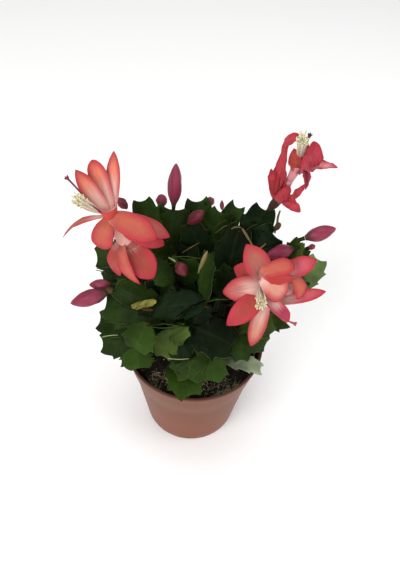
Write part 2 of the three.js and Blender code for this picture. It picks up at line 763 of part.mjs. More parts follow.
function soilBody() {
  const stepR = soilR(collarFoot - HAIR);
  const lump = turned([
    [0, soilFoot],
    [soilR(soilFoot) - FLOOR_EASE - GAP, soilFoot],
    [stepR - GAP, stepFoot],
    [stepR + FLOOR_EASE, collarFoot + FLOOR_EASE],
    [soilR(soilEdge), soilEdge],
    ...soilRings.toReversed().map((r) => [r, SOIL_TOP]),
  ]);
  const places = lump.attributes.position;
  for (let i = 0; i < places.count; i++)
    if (places.getZ(i) > SOIL_TOP - HAIR)
      places.setZ(i, SOIL_TOP + soilBump(places.getX(i), places.getY(i)));
  const holes = ALL_STEMS.map(({ root: [x, y] }) =>
    cone(v(x, y, SOIL_TOP - HOLE_DEEP), v(x, y, POT_HEIGHT), HOLE_R, HOLE_R, STUB_SIDES),
  );
  return holes.reduce((body, hole) => body.subtract(hole), solidOf(lump));
}

function stemBody({ name, root, pads }) {
  const [x, y] = root;
  const joints = [v(x, y, ROOT_Z)];
  const foot = v(x, y, SOIL_TOP - HOLE_DEEP + GAP);
  const bodies = [cone(foot, v(x, y, ROOT_Z + STUB_R), STUB_R, STUB_R, STUB_SIDES)];
  for (const [from, tip, ...rest] of pads) {
    const base = Array.isArray(from) ? vec(from) : joints[from];
    joints.push(vec(tip));
    bodies.push(padBlade(base, vec(tip), ...rest));
  }
  for (const growth of [...BUDS, ...BLOOMS].filter(({ stem }) => stem === name))
    bodies.push(spur(growth, SPUR_R));
  return tidied(joined(bodies));
}

addNode("pot", potBody(), TERRACOTTA);
addNode("soil", soilBody(), PEAT);
for (const stem of ALL_STEMS)
  addNode(stem.name, stemBody(stem), GREEN);
for (const bud of BUDS) addNode(bud.name, budBody(bud), MAGENTA);
for (const bloom of BLOOMS) addBloom(bloom);

export default plant;
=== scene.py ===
# %% [markdown]
# # A potted Christmas cactus
#
# The real object is a small flowering plant: chains of flat toothed pads, buds and
# two-tiered coral blooms, rooted in peat in a thin plastic pot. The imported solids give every
# piece its place and size. This script dresses them: it grows finer pads, petals and buds
# from the same joints, and gives each surface its finish. All sizes are in millimetres in
# the tables, and become metres where a mesh is made.

import json
import math
import random

import bmesh
import bpy
from mathutils import Matrix, Vector, noise

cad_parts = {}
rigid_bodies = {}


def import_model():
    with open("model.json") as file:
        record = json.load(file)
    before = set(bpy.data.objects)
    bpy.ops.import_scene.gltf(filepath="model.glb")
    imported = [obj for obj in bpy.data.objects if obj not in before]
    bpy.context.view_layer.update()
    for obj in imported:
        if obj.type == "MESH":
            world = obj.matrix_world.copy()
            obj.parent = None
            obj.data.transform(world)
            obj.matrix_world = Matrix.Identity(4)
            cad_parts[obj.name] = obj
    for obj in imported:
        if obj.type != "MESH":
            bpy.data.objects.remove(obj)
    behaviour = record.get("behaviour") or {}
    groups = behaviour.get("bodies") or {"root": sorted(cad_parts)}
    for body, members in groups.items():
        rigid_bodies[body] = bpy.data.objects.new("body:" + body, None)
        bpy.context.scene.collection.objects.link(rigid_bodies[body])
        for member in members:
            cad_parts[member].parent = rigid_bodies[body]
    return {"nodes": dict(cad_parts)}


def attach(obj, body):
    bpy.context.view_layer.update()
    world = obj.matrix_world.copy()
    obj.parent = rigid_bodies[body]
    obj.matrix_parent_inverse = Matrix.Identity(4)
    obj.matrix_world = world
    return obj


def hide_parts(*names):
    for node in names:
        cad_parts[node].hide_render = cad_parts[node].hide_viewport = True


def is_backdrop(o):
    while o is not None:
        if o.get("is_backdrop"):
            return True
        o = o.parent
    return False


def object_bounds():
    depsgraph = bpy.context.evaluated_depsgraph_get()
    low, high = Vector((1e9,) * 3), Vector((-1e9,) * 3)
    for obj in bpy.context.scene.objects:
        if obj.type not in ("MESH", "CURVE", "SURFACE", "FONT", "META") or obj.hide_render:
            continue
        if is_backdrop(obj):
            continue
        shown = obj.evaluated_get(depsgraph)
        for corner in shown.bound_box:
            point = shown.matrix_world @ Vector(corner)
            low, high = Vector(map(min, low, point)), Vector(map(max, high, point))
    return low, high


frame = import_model()
SOLID_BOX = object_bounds()
MM = 0.001
print("solids loaded:", len(frame["nodes"]))

# %% [markdown]
# ## The camera
#
# The camera looks down on the pot at about 49 degrees, as the photograph was taken. A camera
# could be aimed by eye, but this one was worked out from the ellipses of the pot's rim and
# foot, so its place and its three directions are written as numbers.

# %% Camera
IMAGE_HEIGHT = 570
FOCAL_PIXELS = 574.36
SENSOR_MM = 36
CAMERA_PLACE = Vector((0, -255.37, 450.31)) * MM
CAMERA_RIGHT = Vector((0.99809, 0.04380, 0.04354))
CAMERA_UP = Vector((-0.06161, 0.75439, 0.65353))
CAMERA_AHEAD = Vector((0.00422, 0.65497, -0.75565))


def make_camera():
    lens = bpy.data.cameras.new("photo_camera")
    lens.sensor_width = SENSOR_MM
    lens.lens = FOCAL_PIXELS * SENSOR_MM / IMAGE_HEIGHT
    turn = Matrix((CAMERA_RIGHT, CAMERA_UP, -CAMERA_AHEAD)).transposed().to_4x4()
    camera = bpy.data.objects.new("photo_camera", lens)
    camera.matrix_world = Matrix.Translation(CAMERA_PLACE) @ turn
    bpy.context.scene.collection.objects.link(camera)
    bpy.context.scene.camera = camera
    print("focal length in mm:", round(lens.lens, 2))


make_camera()

# %% [markdown]
# ## Small helpers for nodes
#
# Geometry Nodes and shader nodes are both built in the script, so one helper makes a node,
# sets its options and fills its inputs, either with plain values or with a link. A second one
# opens a shared group with named inputs and outputs. Sums come up often, so they have short
# names too.

# %% Node helpers
def node(tree, kind, inputs=None, **settings):
    """A new node with its options set and each input filled by a value or a link."""
    made = tree.nodes.new(kind)
    for name, value in settings.items():
        setattr(made, name, value)
    for key, value in (inputs or {}).items():
        if isinstance(value, bpy.types.NodeSocket):
            tree.links.new(value, made.inputs[key])
        else:
            made.inputs[key].default_value = value
    return made


def math_node(tree, operation, first, second=0.0, third=0.0):
    inputs = {0: first, 1: second, 2: third}
    return node(tree, "ShaderNodeMath", inputs, operation=operation).outputs[0]


def product(tree, first, *others):
    for other in others:
        first = math_node(tree, "MULTIPLY", first, other)
    return first


def total(tree, first, *others):
    for other in others:
        first = math_node(tree, "ADD", first, other)
    return first


def scaled(tree, vector, factor):
    inputs = {"Vector": vector, "Scale": factor}
    return node(tree, "ShaderNodeVectorMath", inputs, operation="SCALE").outputs["Vector"]


MIX_SOCKETS = (0, 6, 7)
MIXED_SOCKET = 2


def mix_colour(tree, share, first, second):
    """A colour that is the first at share 0 and the second at share 1."""
    inputs = dict(zip(MIX_SOCKETS, (share, first, second)))
    return node(tree, "ShaderNodeMix", inputs, data_type="RGBA").outputs[MIXED_SOCKET]


def ramp(tree, value, low, high):
    """0 below low, 1 above high, and a smooth rise between them."""
    inputs = {"Value": value, "From Min": low, "From Max": high}
    return node(tree, "ShaderNodeMapRange", inputs, interpolation_type="SMOOTHSTEP").outputs[0]


SOCKETS = {
    "float": "NodeSocketFloat", "int": "NodeSocketInt", "colour": "NodeSocketColor",
    "geometry": "NodeSocketGeometry", "collection": "NodeSocketCollection",
    "material": "NodeSocketMaterial",
}


def open_group(name, kind, inputs, outputs):
    """An empty group, the outputs of its input node and the inputs of its output node."""
    tree = bpy.data.node_groups.new(name, kind)
    for socket, sort in inputs.items():
        tree.interface.new_socket(socket, in_out="INPUT", socket_type=SOCKETS[sort])
    for socket, sort in outputs.items():
        tree.interface.new_socket(socket, in_out="OUTPUT", socket_type=SOCKETS[sort])
    return tree, tree.nodes.new("NodeGroupInput").outputs, tree.nodes.new("NodeGroupOutput").inputs


def colour(red, green, blue):
    return (red, green, blue, 1.0)


print("kinds of group sockets:", ", ".join(SOCKETS))

# %% [markdown]
# ## Light and floor
#
# The photograph has soft even light from above and a plain white ground. A pale floor, a
# pale surrounding and large soft lamps give that. The lamps are big, so that shadows stay
# soft, and the key stands at the upper left, behind the viewer's shoulder.

# %% Light and floor
FLOOR_HALF = 6.0
FLOOR_TINT = colour(0.96, 0.96, 0.955)
FLOOR_ROUGHNESS = 0.9
SURROUND_STRENGTH = 0.42
LAMP_AIM = Vector((0, 0, 0.13))
LAMPS = {
    "key_lamp": {"place": (-0.75, -0.9, 1.0), "size": 0.8, "power": 13},
    "side_lamp": {"place": (1.2, -0.2, 0.8), "size": 1.0, "power": 7},
    "fill_lamp": {"place": (0.25, -1.3, 0.25), "size": 1.0, "power": 8},
    "top_lamp": {"place": (-0.1, 0.35, 1.6), "size": 1.1, "power": 10},
}


def make_lamp(name, place, size, power):
    light = bpy.data.lights.new(name, "AREA")
    light.shape = "SQUARE"
    light.size = size
    light.energy = power
    lamp = bpy.data.objects.new(name, light)
    lamp.rotation_euler = (LAMP_AIM - Vector(place)).to_track_quat("-Z", "Y").to_euler()
    lamp.location = place
    bpy.context.scene.collection.objects.link(lamp)


def make_surround():
    world = bpy.data.worlds.new("pale_surround")
    world.use_nodes = True
    background = world.node_tree.nodes["Background"]
    background.inputs["Color"].default_value = colour(1, 1, 1)
    background.inputs["Strength"].default_value = SURROUND_STRENGTH
    bpy.context.scene.world = world


def make_floor():
    mesh = bpy.data.meshes.new("floor")
    signs = ((-1, -1, 0), (1, -1, 0), (1, 1, 0), (-1, 1, 0))
    mesh.from_pydata([Vector(sign) * FLOOR_HALF for sign in signs], [], [(0, 1, 2, 3)])
    material = bpy.data.materials.new("pale_floor")
    material.use_nodes = True
    shader = material.node_tree.nodes["Principled BSDF"]
    shader.inputs["Base Color"].default_value = FLOOR_TINT
    shader.inputs["Roughness"].default_value = FLOOR_ROUGHNESS
    mesh.materials.append(material)
    floor = bpy.data.objects.new("floor", mesh)
    bpy.context.scene.collection.objects.link(floor)
    floor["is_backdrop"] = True


make_surround()
for name, lamp in LAMPS.items():
    make_lamp(name, **lamp)
make_floor()
bpy.context.scene.view_settings.view_transform = "Standard"
print("lamps:", ", ".join(LAMPS))

# %% [markdown]
# ## A shared shader group for uneven colour
#
# Nothing that grew is one flat colour, and moulded plastic has faint clouds too. One group
# does this for every material: a soft noise makes the colour lighter and darker, and a finer
# noise gives a height for the bump.

# %% Mottle group
CLOUD_DETAIL = 4
GRAIN_DETAIL = 3


def clouds(tree, place, scale, detail):
    """A soft noise from 0 to 1, with its middle near one half."""
    inputs = {"Vector": place, "Scale": scale, "Detail": detail}
    return node(tree, "ShaderNodeTexNoise", inputs).outputs["Fac"]


def make_mottle():
    sockets = {"Colour": "colour", "Scale": "float", "Amount": "float", "Grain scale": "float"}
    tree, given, result = open_group(
        "Mottle", "ShaderNodeTree", sockets, {"Colour": "colour", "Height": "float"}
    )
    place = node(tree, "ShaderNodeTexCoord").outputs["Object"]
    cloud = clouds(tree, place, given["Scale"], CLOUD_DETAIL)
    swing = product(tree, math_node(tree, "SUBTRACT", cloud, 0.5), 2.0, given["Amount"])
    tree.links.new(scaled(tree, given["Colour"], total(tree, swing, 1.0)), result["Colour"])
    tree.links.new(clouds(tree, place, given["Grain scale"], GRAIN_DETAIL), result["Height"])
    return tree


MOTTLE = make_mottle()


def mottled(tree, base, scale, amount, grain_scale):
    """The colour and the height that the group gives for a base colour or socket."""
    values = {"Colour": base, "Scale": scale, "Amount": amount, "Grain scale": grain_scale}
    made = node(tree, "ShaderNodeGroup", values, node_tree=MOTTLE)
    return made.outputs["Colour"], made.outputs["Height"]


print("shared groups:", MOTTLE.name)

# %% [markdown]
# Every material starts from the plain Principled shader. Every finished piece is attached to the
# body that it rides on, and the solids that it stands for are hidden.

# %% Helpers for materials and pieces
def open_material(name, roughness, specular=0.5):
    """A material with its Principled shader, whose constant values sit on its own sockets."""
    material = bpy.data.materials.new(name)
    material.use_nodes = True
    tree = material.node_tree
    shader = tree.nodes["Principled BSDF"]
    shader.inputs["Roughness"].default_value = roughness
    shader.inputs["Specular IOR Level"].default_value = specular
    return material, tree, shader


def bump(tree, shader, height, distance):
    made = node(tree, "ShaderNodeBump", {"Height": height, "Distance": distance, "Strength": 1.0})
    tree.links.new(made.outputs["Normal"], shader.inputs["Normal"])


def dressed(piece, slot, *nodes):
    """Attaches a finished piece to its body and hides the solids that it replaces. The slot is not
    used.
    """
    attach(piece, "root")
    if nodes:
        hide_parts(*nodes)
    return piece


print("materials so far:", len(bpy.data.materials))

# %% [markdown]
# ## The pot
#
# The real pot is one thin moulded shell of terracotta-coloured plastic: a tapered wall, a
# collar under the lip, a raised floor with drain holes, and a foot ring with notches. It
# could be drawn as nested cylinders, but a turned profile is how the mould was cut, so the
# wall is one profile turned about the axis, with holes and notches cut afterwards.

# %% Pot sizes
POT_RIM_R = 52.5
POT_FOOT_R = 38.5
POT_HEIGHT = 92
POT_WALL = 1.1
COLLAR_DROP = 21
COLLAR_STEP = 1.5
COLLAR_EASE = ((-1.35, 15), (-0.9, 11), (-0.37, 7), (0.26, 3), (0.89, -1), (1.42, -5))
LIP_OUT = 0.8
LIP_TALL = 2.2
FOOT_RECESS = 2.5
FOOT_WIDE = 5
FOOT_DISC_R = 12
FOOT_NOTCHES = 6
FOOT_NOTCH_WIDE = 14
FOOT_NOTCH_TALL = 1.6
DRAIN_HOLES = 6
DRAIN_HOLE_R = 3.5
DRAIN_RING_R = 25
FOOT_EASE = 1.5
LIP_EASE = 0.4
FOOT_CHAMFER = 0.4
POT_SIDES = 144

collar_foot = POT_HEIGHT - COLLAR_DROP
floor_top = FOOT_RECESS + POT_WALL
TAPER = (POT_RIM_R - LIP_OUT - POT_FOOT_R) / POT_HEIGHT
print("pot wall leans out by", round(math.degrees(math.atan(TAPER)), 1), "degrees")

# %% [markdown]
# The profile runs up the outside of the wall from the middle of the foot, over the lip and
# down the inside to the middle of the floor. Small numbers in it are the chamfers of the mould.

# %% Pot profile
def outer_r(z):
    """The wall's outer radius at a height, in millimetres."""
    return POT_FOOT_R + TAPER * z - (COLLAR_STEP if z < collar_foot else 0)


def pot_profile():
    foot_out = outer_r(0) - FOOT_EASE
    foot_in = POT_FOOT_R - COLLAR_STEP - FOOT_WIDE
    lip_foot = POT_HEIGHT - LIP_TALL
    step_foot = collar_foot - COLLAR_STEP
    step_r = outer_r(collar_foot - 0.01)
    return [
        (0, 0),
        (FOOT_DISC_R - FOOT_CHAMFER, 0),
        (FOOT_DISC_R, 0.2),
        (FOOT_DISC_R + FOOT_EASE, FOOT_RECESS),
        (foot_in - FOOT_EASE, FOOT_RECESS),
        (foot_in, 0.2),
        (foot_in + FOOT_CHAMFER, 0),
        (foot_out, 0),
        (foot_out + 0.9, 0.3),
        (outer_r(FOOT_EASE), FOOT_EASE),
        (outer_r(12), 12),
        (outer_r(40), 40),
        *[(step_r + COLLAR_STEP * rise, collar_foot - down) for rise, down in COLLAR_EASE],
        (outer_r(80), 80),
        (outer_r(lip_foot), lip_foot - 0.3),
        (POT_RIM_R - 0.2, lip_foot + 0.15),
        (POT_RIM_R, lip_foot + LIP_EASE),
        (POT_RIM_R, POT_HEIGHT - LIP_EASE),
        (POT_RIM_R - 0.12, POT_HEIGHT - 0.12),
        (POT_RIM_R - LIP_EASE, POT_HEIGHT),
        (outer_r(POT_HEIGHT) - POT_WALL + 0.2, POT_HEIGHT),
        (outer_r(POT_HEIGHT) - POT_WALL, POT_HEIGHT - 0.3),
        (outer_r(collar_foot) - POT_WALL, collar_foot + LIP_EASE),
        (step_r - POT_WALL, step_foot),
        (outer_r(40) - POT_WALL, 40),
        (outer_r(floor_top) - POT_WALL, floor_top + 1.2),
        (outer_r(floor_top) - POT_WALL - 1, floor_top),
        (0, floor_top),
    ]


print("points on the pot's profile:", len(pot_profile()))

# %% [markdown]
# Spin turns the profile into a closed wall. It doubles the points on the axis, so they are
# merged before the faces are made to point outwards.

# %% Turn the pot
def turned_mesh(name, profile, sides):
    """A closed shape turned about Z from (radius, height) points that start and end on the axis."""
    bm = bmesh.new()
    path = [bm.verts.new(Vector((r, 0, z)) * MM) for r, z in profile]
    edges = [bm.edges.new(pair) for pair in zip(path, path[1:])]
    bmesh.ops.spin(
        bm, geom=path + edges, cent=(0, 0, 0), axis=(0, 0, 1), angle=2 * math.pi, steps=sides
    )
    bmesh.ops.remove_doubles(bm, verts=bm.verts, dist=1e-6)
    bmesh.ops.recalc_face_normals(bm, faces=bm.faces)
    mesh = bpy.data.meshes.new(name)
    bm.to_mesh(mesh)
    bm.free()
    return mesh


def place_mesh(name, mesh):
    piece = bpy.data.objects.new(name, mesh)
    bpy.context.scene.collection.objects.link(piece)
    return piece


pot_blank = place_mesh("pot_blank", turned_mesh("pot_blank", pot_profile(), POT_SIDES))
print("faces of the uncut pot:", len(pot_blank.data.polygons))

# %% [markdown]
# The drain holes and the notches in the foot ring are cut by one boolean. Its result is kept
# as a plain mesh, and the blank and the cutters leave the scene.

# %% Cut the holes
DRAIN_HOLE_SIDES = 24
DRAIN_HOLE_DEEP = 12
SHARP_FROM = math.radians(38)


def pot_cutters():
    """The drain holes and foot notches as one object to cut with."""
    bm = bmesh.new()
    for k in range(DRAIN_HOLES):
        turn = Matrix.Rotation(k * 2 * math.pi / DRAIN_HOLES, 4, "Z")
        place = turn @ Matrix.Translation(Vector((DRAIN_RING_R, 0, FOOT_RECESS)) * MM)
        r = DRAIN_HOLE_R * MM
        bmesh.ops.create_cone(
            bm, cap_ends=True, segments=DRAIN_HOLE_SIDES, radius1=r, radius2=r,
            depth=DRAIN_HOLE_DEEP * MM, matrix=place,
        )
    size = Vector((3 * FOOT_WIDE, FOOT_NOTCH_WIDE, 2 * FOOT_NOTCH_TALL)) * MM
    for k in range(FOOT_NOTCHES):
        turn = Matrix.Rotation((k + 0.5) * 2 * math.pi / FOOT_NOTCHES, 4, "Z")
        place = turn @ Matrix.Translation((POT_FOOT_R * MM, 0, 0)) @ Matrix.Diagonal((*size, 1))
        bmesh.ops.create_cube(bm, size=1, matrix=place)
    mesh = bpy.data.meshes.new("pot_cutters")
    bm.to_mesh(mesh)
    bm.free()
    return place_mesh("pot_cutters", mesh)


def finished_mesh(piece, name):
    """The evaluated shape of an object as a plain mesh, without its modifiers."""
    bpy.context.view_layer.update()
    seen = piece.evaluated_get(bpy.context.evaluated_depsgraph_get())
    mesh = bpy.data.meshes.new_from_object(seen)
    mesh.name = name
    return mesh


def make_pot(blank):
    cutters = pot_cutters()
    cut = blank.modifiers.new("holes", "BOOLEAN")
    cut.object = cutters
    cut.operation = "DIFFERENCE"
    cut.solver = "EXACT"
    mesh = finished_mesh(blank, "pot_turned")
    for spent in (blank, cutters):
        bpy.data.objects.remove(spent)
    for face in mesh.polygons:
        face.use_smooth = True
    mesh.set_sharp_from_angle(angle=SHARP_FROM)
    return place_mesh("pot_turned", mesh)


pot = make_pot(pot_blank)
print("pot faces:", len(pot.data.polygons))

# %% [markdown]
# The plastic is a muted terracotta with a soft sheen. Its colour is painted a little lighter
# towards the foot, as painted light against the shade that falls there, and painted darker inside
# and along the lip, as painted shade for the shadow within the rim; pale scuffs cloud the wall.
# The inside is told from the outside by how far a point lies within the wall's taper.

# %% Pot material
POT_TINT = colour(0.139, 0.042, 0.017)
POT_FOOT_LIGHT_TINT = colour(0.2, 0.059, 0.029)
POT_SCUFF_TINT = colour(0.2, 0.078, 0.044)
POT_INSIDE_SHADE_TINT = colour(0.085, 0.034, 0.024)
POT_ROUGHNESS = 0.32
POT_ROUGHNESS_SWING = 0.25
COLLAR_FADE = 7
INSIDE_SHADE_DEPTHS = (0.5 * MM, 1.0 * MM)
LIP_SHADE_DROPS = (1.3, 0.5)
SCUFF_FROM_TO = (0.56, 0.75)
SCUFF_SHARE = 0.3
FOOT_LIGHT_SHARE = 0.85


def pot_plastic():
    material, tree, shader = open_material("pot_plastic", roughness=0.42, specular=0.2)
    place = node(tree, "ShaderNodeTexCoord").outputs["Object"]
    height = node(tree, "ShaderNodeSeparateXYZ", {0: place}).outputs["Z"]
    flat = node(tree, "ShaderNodeVectorMath", {0: place, 1: (1, 1, 0)}, operation="MULTIPLY").outputs[0]
    radius = node(tree, "ShaderNodeVectorMath", {0: flat}, operation="LENGTH").outputs["Value"]
    wall = math_node(tree, "MULTIPLY_ADD", height, TAPER, (POT_FOOT_R - COLLAR_STEP) * MM)
    collar = ramp(tree, height, (collar_foot - COLLAR_FADE) * MM, collar_foot * MM)
    wall = total(tree, wall, product(tree, collar, COLLAR_STEP * MM))
    # Painted shade: darker inside the wall and along the top of the lip, for the shadow within the rim.
    inside = ramp(tree, math_node(tree, "SUBTRACT", wall, radius), *INSIDE_SHADE_DEPTHS)
    lip = ramp(tree, height, *[(POT_HEIGHT - drop) * MM for drop in LIP_SHADE_DROPS])
    dark = math_node(tree, "MAXIMUM", inside, lip)
    base, grain = mottled(tree, POT_TINT, scale=22, amount=0.10, grain_scale=900)
    worn = clouds(tree, place, scale=9, detail=6)
    scuff = ramp(tree, worn, *SCUFF_FROM_TO)
    base = mix_colour(tree, product(tree, scuff, SCUFF_SHARE), base, POT_SCUFF_TINT)
    # Painted light: lighter towards the foot, against the shade that falls on the lower wall.
    foot = ramp(tree, height, collar_foot * MM, 0)
    base = mix_colour(tree, product(tree, foot, FOOT_LIGHT_SHARE), base, POT_FOOT_LIGHT_TINT)
    # Mix in the painted shade inside the wall and on the lip.
    base = mix_colour(tree, dark, base, POT_INSIDE_SHADE_TINT)
    tree.links.new(base, shader.inputs["Base Color"])
    rough = math_node(tree, "MULTIPLY_ADD", worn, POT_ROUGHNESS_SWING, POT_ROUGHNESS)
    tree.links.new(rough, shader.inputs["Roughness"])
    bump(tree, shader, grain, distance=0.00005)
    return material


pot.data.materials.clear()
pot.data.materials.append(pot_plastic())
dressed(pot, "pot", "pot")
print("pot material:", pot.data.materials[0].name)

# %% [markdown]
# ## The leaf shapes
#
# Pads, petals, buds and bristles come in great number, and each kind follows one outline. So
# one example of each is drawn flat, one unit long, and carries its own coordinates as an
# attribute called local: x runs along it, y across it and z through its thickness. A second
# attribute, leaf, says how far out from the rib and how far along each point lies, for its
# colours. A shape could be modelled by hand, but an outline in a list is easier to correct.

# %% Leaf outlines
KIND_NAMES = ("pad", "woody", "petal", "blunt", "bud", "grain", "bristle", "cup", "crumb")
KINDS = {name: number for number, name in enumerate(KIND_NAMES)}
PAD_ACROSS = (0.0, 0.13, 0.35, 0.62, 0.88, 1.0)
PAD_HALF_THICK = (1.1, 0.92, 0.72, 0.6, 0.42, 0.0)
PETAL_ACROSS = (0.0, 0.3, 0.6, 0.86, 1.0)
PETAL_HALF_THICK = (0.5, 0.42, 0.34, 0.24, 0.0)
PAD_EDGE = [
    (0, 0.16), (0.03, 0.26), (0.08, 0.40), (0.14, 0.54), (0.20, 0.67), (0.27, 0.79),
    (0.34, 0.87), (0.39, 0.93), (0.435, 1.0), (0.438, 0.94), (0.45, 0.84), (0.50, 0.83),
    (0.56, 0.86), (0.63, 0.90), (0.69, 0.945), (0.75, 1.0), (0.752, 0.92), (0.765, 0.78),
    (0.81, 0.755), (0.87, 0.72), (0.93, 0.675), (0.98, 0.61), (1.035, 0.50), (1.015, 0.42),
    (0.985, 0.30), (0.968, 0.18), (0.963, 0.08), (0.96, 0),
]
WOODY_EDGE = [
    (0, 0.3), (0.1, 0.62), (0.22, 0.9), (0.35, 1.0), (0.5, 0.94), (0.62, 0.97), (0.75, 1.0),
    (0.87, 0.82), (0.95, 0.62), (1.0, 0.4), (1.01, 0.2), (1.01, 0),
]
PETAL_EDGE = [
    (0, 0.42), (0.1, 0.62), (0.2, 0.78), (0.32, 0.91), (0.45, 0.98), (0.56, 1.0),
    (0.67, 0.95), (0.77, 0.82), (0.86, 0.61), (0.93, 0.38), (0.98, 0.17), (1.01, 0),
]
BLUNT_EDGE = [
    (0, 0.42), (0.12, 0.60), (0.28, 0.80), (0.45, 0.93), (0.60, 1.0), (0.74, 0.98),
    (0.85, 0.86), (0.93, 0.64), (0.98, 0.36), (1.0, 0.16), (1.005, 0),
]
print("points on the edge of a pad:", len(PAD_EDGE))

# %% [markdown]
# A blade has two skins, one above and one below, that meet along the outline. Its rows bend
# from the straight root towards the outline, so the grid follows the teeth of a pad.

# %% Flat leaves
SHAPES = bpy.data.collections.new("leaf_shapes")
RIB_BEND = 1.15
TIP_THINNING = 0.35


def add_shape(name, places, faces, leaf):
    """Keeps an example of one kind, with its coordinates as attributes."""
    mesh = bpy.data.meshes.new(name)
    mesh.from_pydata(places, [], faces)
    for attribute, values in (("local", places), ("leaf", leaf)):
        layer = mesh.attributes.new(attribute, "FLOAT_VECTOR", "POINT")
        layer.data.foreach_set("vector", [number for value in values for number in value])
    shape = bpy.data.objects.new(f"{KINDS[name]}_{name}", mesh)
    SHAPES.objects.link(shape)
    print(name, "shape:", len(faces), "faces")


def add_blade(name, edge, across, half_thick):
    """A lens-like blade: two skins that meet along the outline, its root row and its end."""
    last = len(edge) - 1
    rib_end = edge[last][0]
    columns = [-k for k in range(len(across) - 1, 0, -1)] + list(range(len(across)))
    places, leaf, faces, known = [], [], [], {}

    def corner(row, column, skin):
        along, out = edge[row]
        share = across[abs(column)] * (-1 if column < 0 else 1)
        rib = rib_end * (1 - (1 - row / last) ** RIB_BEND)
        up = skin * half_thick[abs(column)] * (1 - TIP_THINNING * row / last)
        seam = abs(column) == len(across) - 1 or row in (0, last)
        key = (row, 0 if row == last else column, 0 if seam else skin)
        if key not in known:
            known[key] = len(places)
            place = (rib + (along - rib) * abs(share), out * share, 0 if seam else up)
            places.append(place)
            leaf.append((share, row / last, 1))
        return known[key]

    for skin in (1, -1):
        for row in range(last):
            for left, right in zip(columns, columns[1:]):
                spots = ((row, left), (row, right), (row + 1, right), (row + 1, left))
                loop = [corner(*spot, skin) for spot in spots]
                loop = [c for k, c in enumerate(loop) if c != loop[k - 1]]
                if len(loop) > 2:
                    faces.append(loop if skin < 0 else loop[::-1])
    add_shape(name, places, faces, leaf)


add_blade("pad", PAD_EDGE, PAD_ACROSS, PAD_HALF_THICK)
add_blade("woody", WOODY_EDGE, PAD_ACROSS, PAD_HALF_THICK)
add_blade("petal", PETAL_EDGE, PETAL_ACROSS, PETAL_HALF_THICK)
add_blade("blunt", BLUNT_EDGE, PETAL_ACROSS, PETAL_HALF_THICK)

# %% [markdown]
# A bud is round: a stack of rings between two points on its axis. Its rings have slanting
# folds, from its rolled petals, which are deepest halfway along it.

# %% Bud shape
BUD_RINGS = 22
BUD_SIDES = 20
BUD_FOLDS = 5
BUD_TWIST = 1.6
BUD_FOLD_DEEP = 0.07
BUD_OUTLINE = [
    (0, 0.34), (0.06, 0.44), (0.15, 0.70), (0.28, 0.92), (0.42, 1.0), (0.56, 0.97),
    (0.70, 0.84), (0.82, 0.62), (0.91, 0.40), (0.97, 0.2), (1, 0),
]


def bud_radius(share):
    """A bud's radius along it, between the points of its outline."""
    for (low, from_r), (high, to_r) in zip(BUD_OUTLINE, BUD_OUTLINE[1:]):
        if share <= high:
            return from_r + (to_r - from_r) * (share - low) / (high - low)
    return 0


def ring_faces(rings, sides):
    """The faces of a stack of rings whose first and last points are its ends."""
    faces = []
    foot = 1 + (rings - 1) * sides
    for side in range(sides):
        beside = (side + 1) % sides
        faces.append((0, 1 + beside, 1 + side))
        faces.append((foot + sides, foot + side, foot + beside))
        for ring in range(rings - 1):
            a, b = 1 + ring * sides, 1 + (ring + 1) * sides
            faces.append((a + side, a + beside, b + beside, b + side))
    return faces


def add_bud():
    places, leaf = [(0, 0, 0)], [(0, 0, 1)]
    for ring in range(BUD_RINGS):
        share = ring / BUD_RINGS
        for side in range(BUD_SIDES):
            turn = side * 2 * math.pi / BUD_SIDES
            wave = math.sin(BUD_FOLDS * (turn + BUD_TWIST * share))
            fold = math.copysign(abs(wave) ** 0.5, wave) * math.sin(math.pi * share)
            radius = bud_radius(share) * (1 + BUD_FOLD_DEEP * fold)
            places.append((share, radius * math.cos(turn), radius * math.sin(turn)))
            leaf.append((wave, share, 1))
    places.append((1, 0, 0))
    leaf.append((0, 1, 1))
    add_shape("bud", places, ring_faces(BUD_RINGS, BUD_SIDES), leaf)


add_bud()

# %% [markdown]
# Anthers, bristles, crumbs and the cup of a bloom are plain round bodies. A cup's outline turns
# inwards at its lip and runs down to the floor of its bowl.

# %% Plain round shapes
CUP_OUTLINE = [
    (0.1, 0.6), (0.3, 0.68), (0.6, 0.82), (0.85, 0.94), (0.97, 1.0), (1.0, 0.97),
    (0.97, 0.9), (0.9, 0.78), (0.84, 0.55), (0.8, 0.3),
]
CUP_SIDES = 24
CUP_BOWL = 0.78
CUP_INSIDE = 6
GRAIN_OUTLINE = ((0.12, 0.6), (0.37, 0.95), (0.62, 0.95), (0.87, 0.6))
BRISTLE_OUTLINE = ((0.25, 1.0), (0.75, 0.55))
CRUMB_OUTLINE = ((0.2, 0.8), (0.7, 0.9))


def add_round(name, outline, sides, end=1.0, inside=None):
    """A closed round body: its outline's places along it and radii, and where its axis ends.

    From the ring whose number is inside, the outline runs back down into a bowl, which is
    coloured as a leaf and not as a stalk.
    """
    places, leaf = [(0, 0, 0)], [(0, 0, 0 if inside else 1)]
    for ring, (share, radius) in enumerate(outline):
        for side in range(sides):
            turn = side * 2 * math.pi / sides
            places.append((share, radius * math.cos(turn), radius * math.sin(turn)))
            leaf.append((0, 0, ring >= inside) if inside else (0, share, 1))
    places.append((end, 0, 0))
    leaf.append((0, 0 if inside else 1, 1))
    add_shape(name, places, ring_faces(len(outline), sides), leaf)


add_round("grain", GRAIN_OUTLINE, sides=8)
add_round("bristle", BRISTLE_OUTLINE, sides=3)
add_round("cup", CUP_OUTLINE, sides=CUP_SIDES, end=CUP_BOWL, inside=CUP_INSIDE)
add_round("crumb", CRUMB_OUTLINE, sides=5)

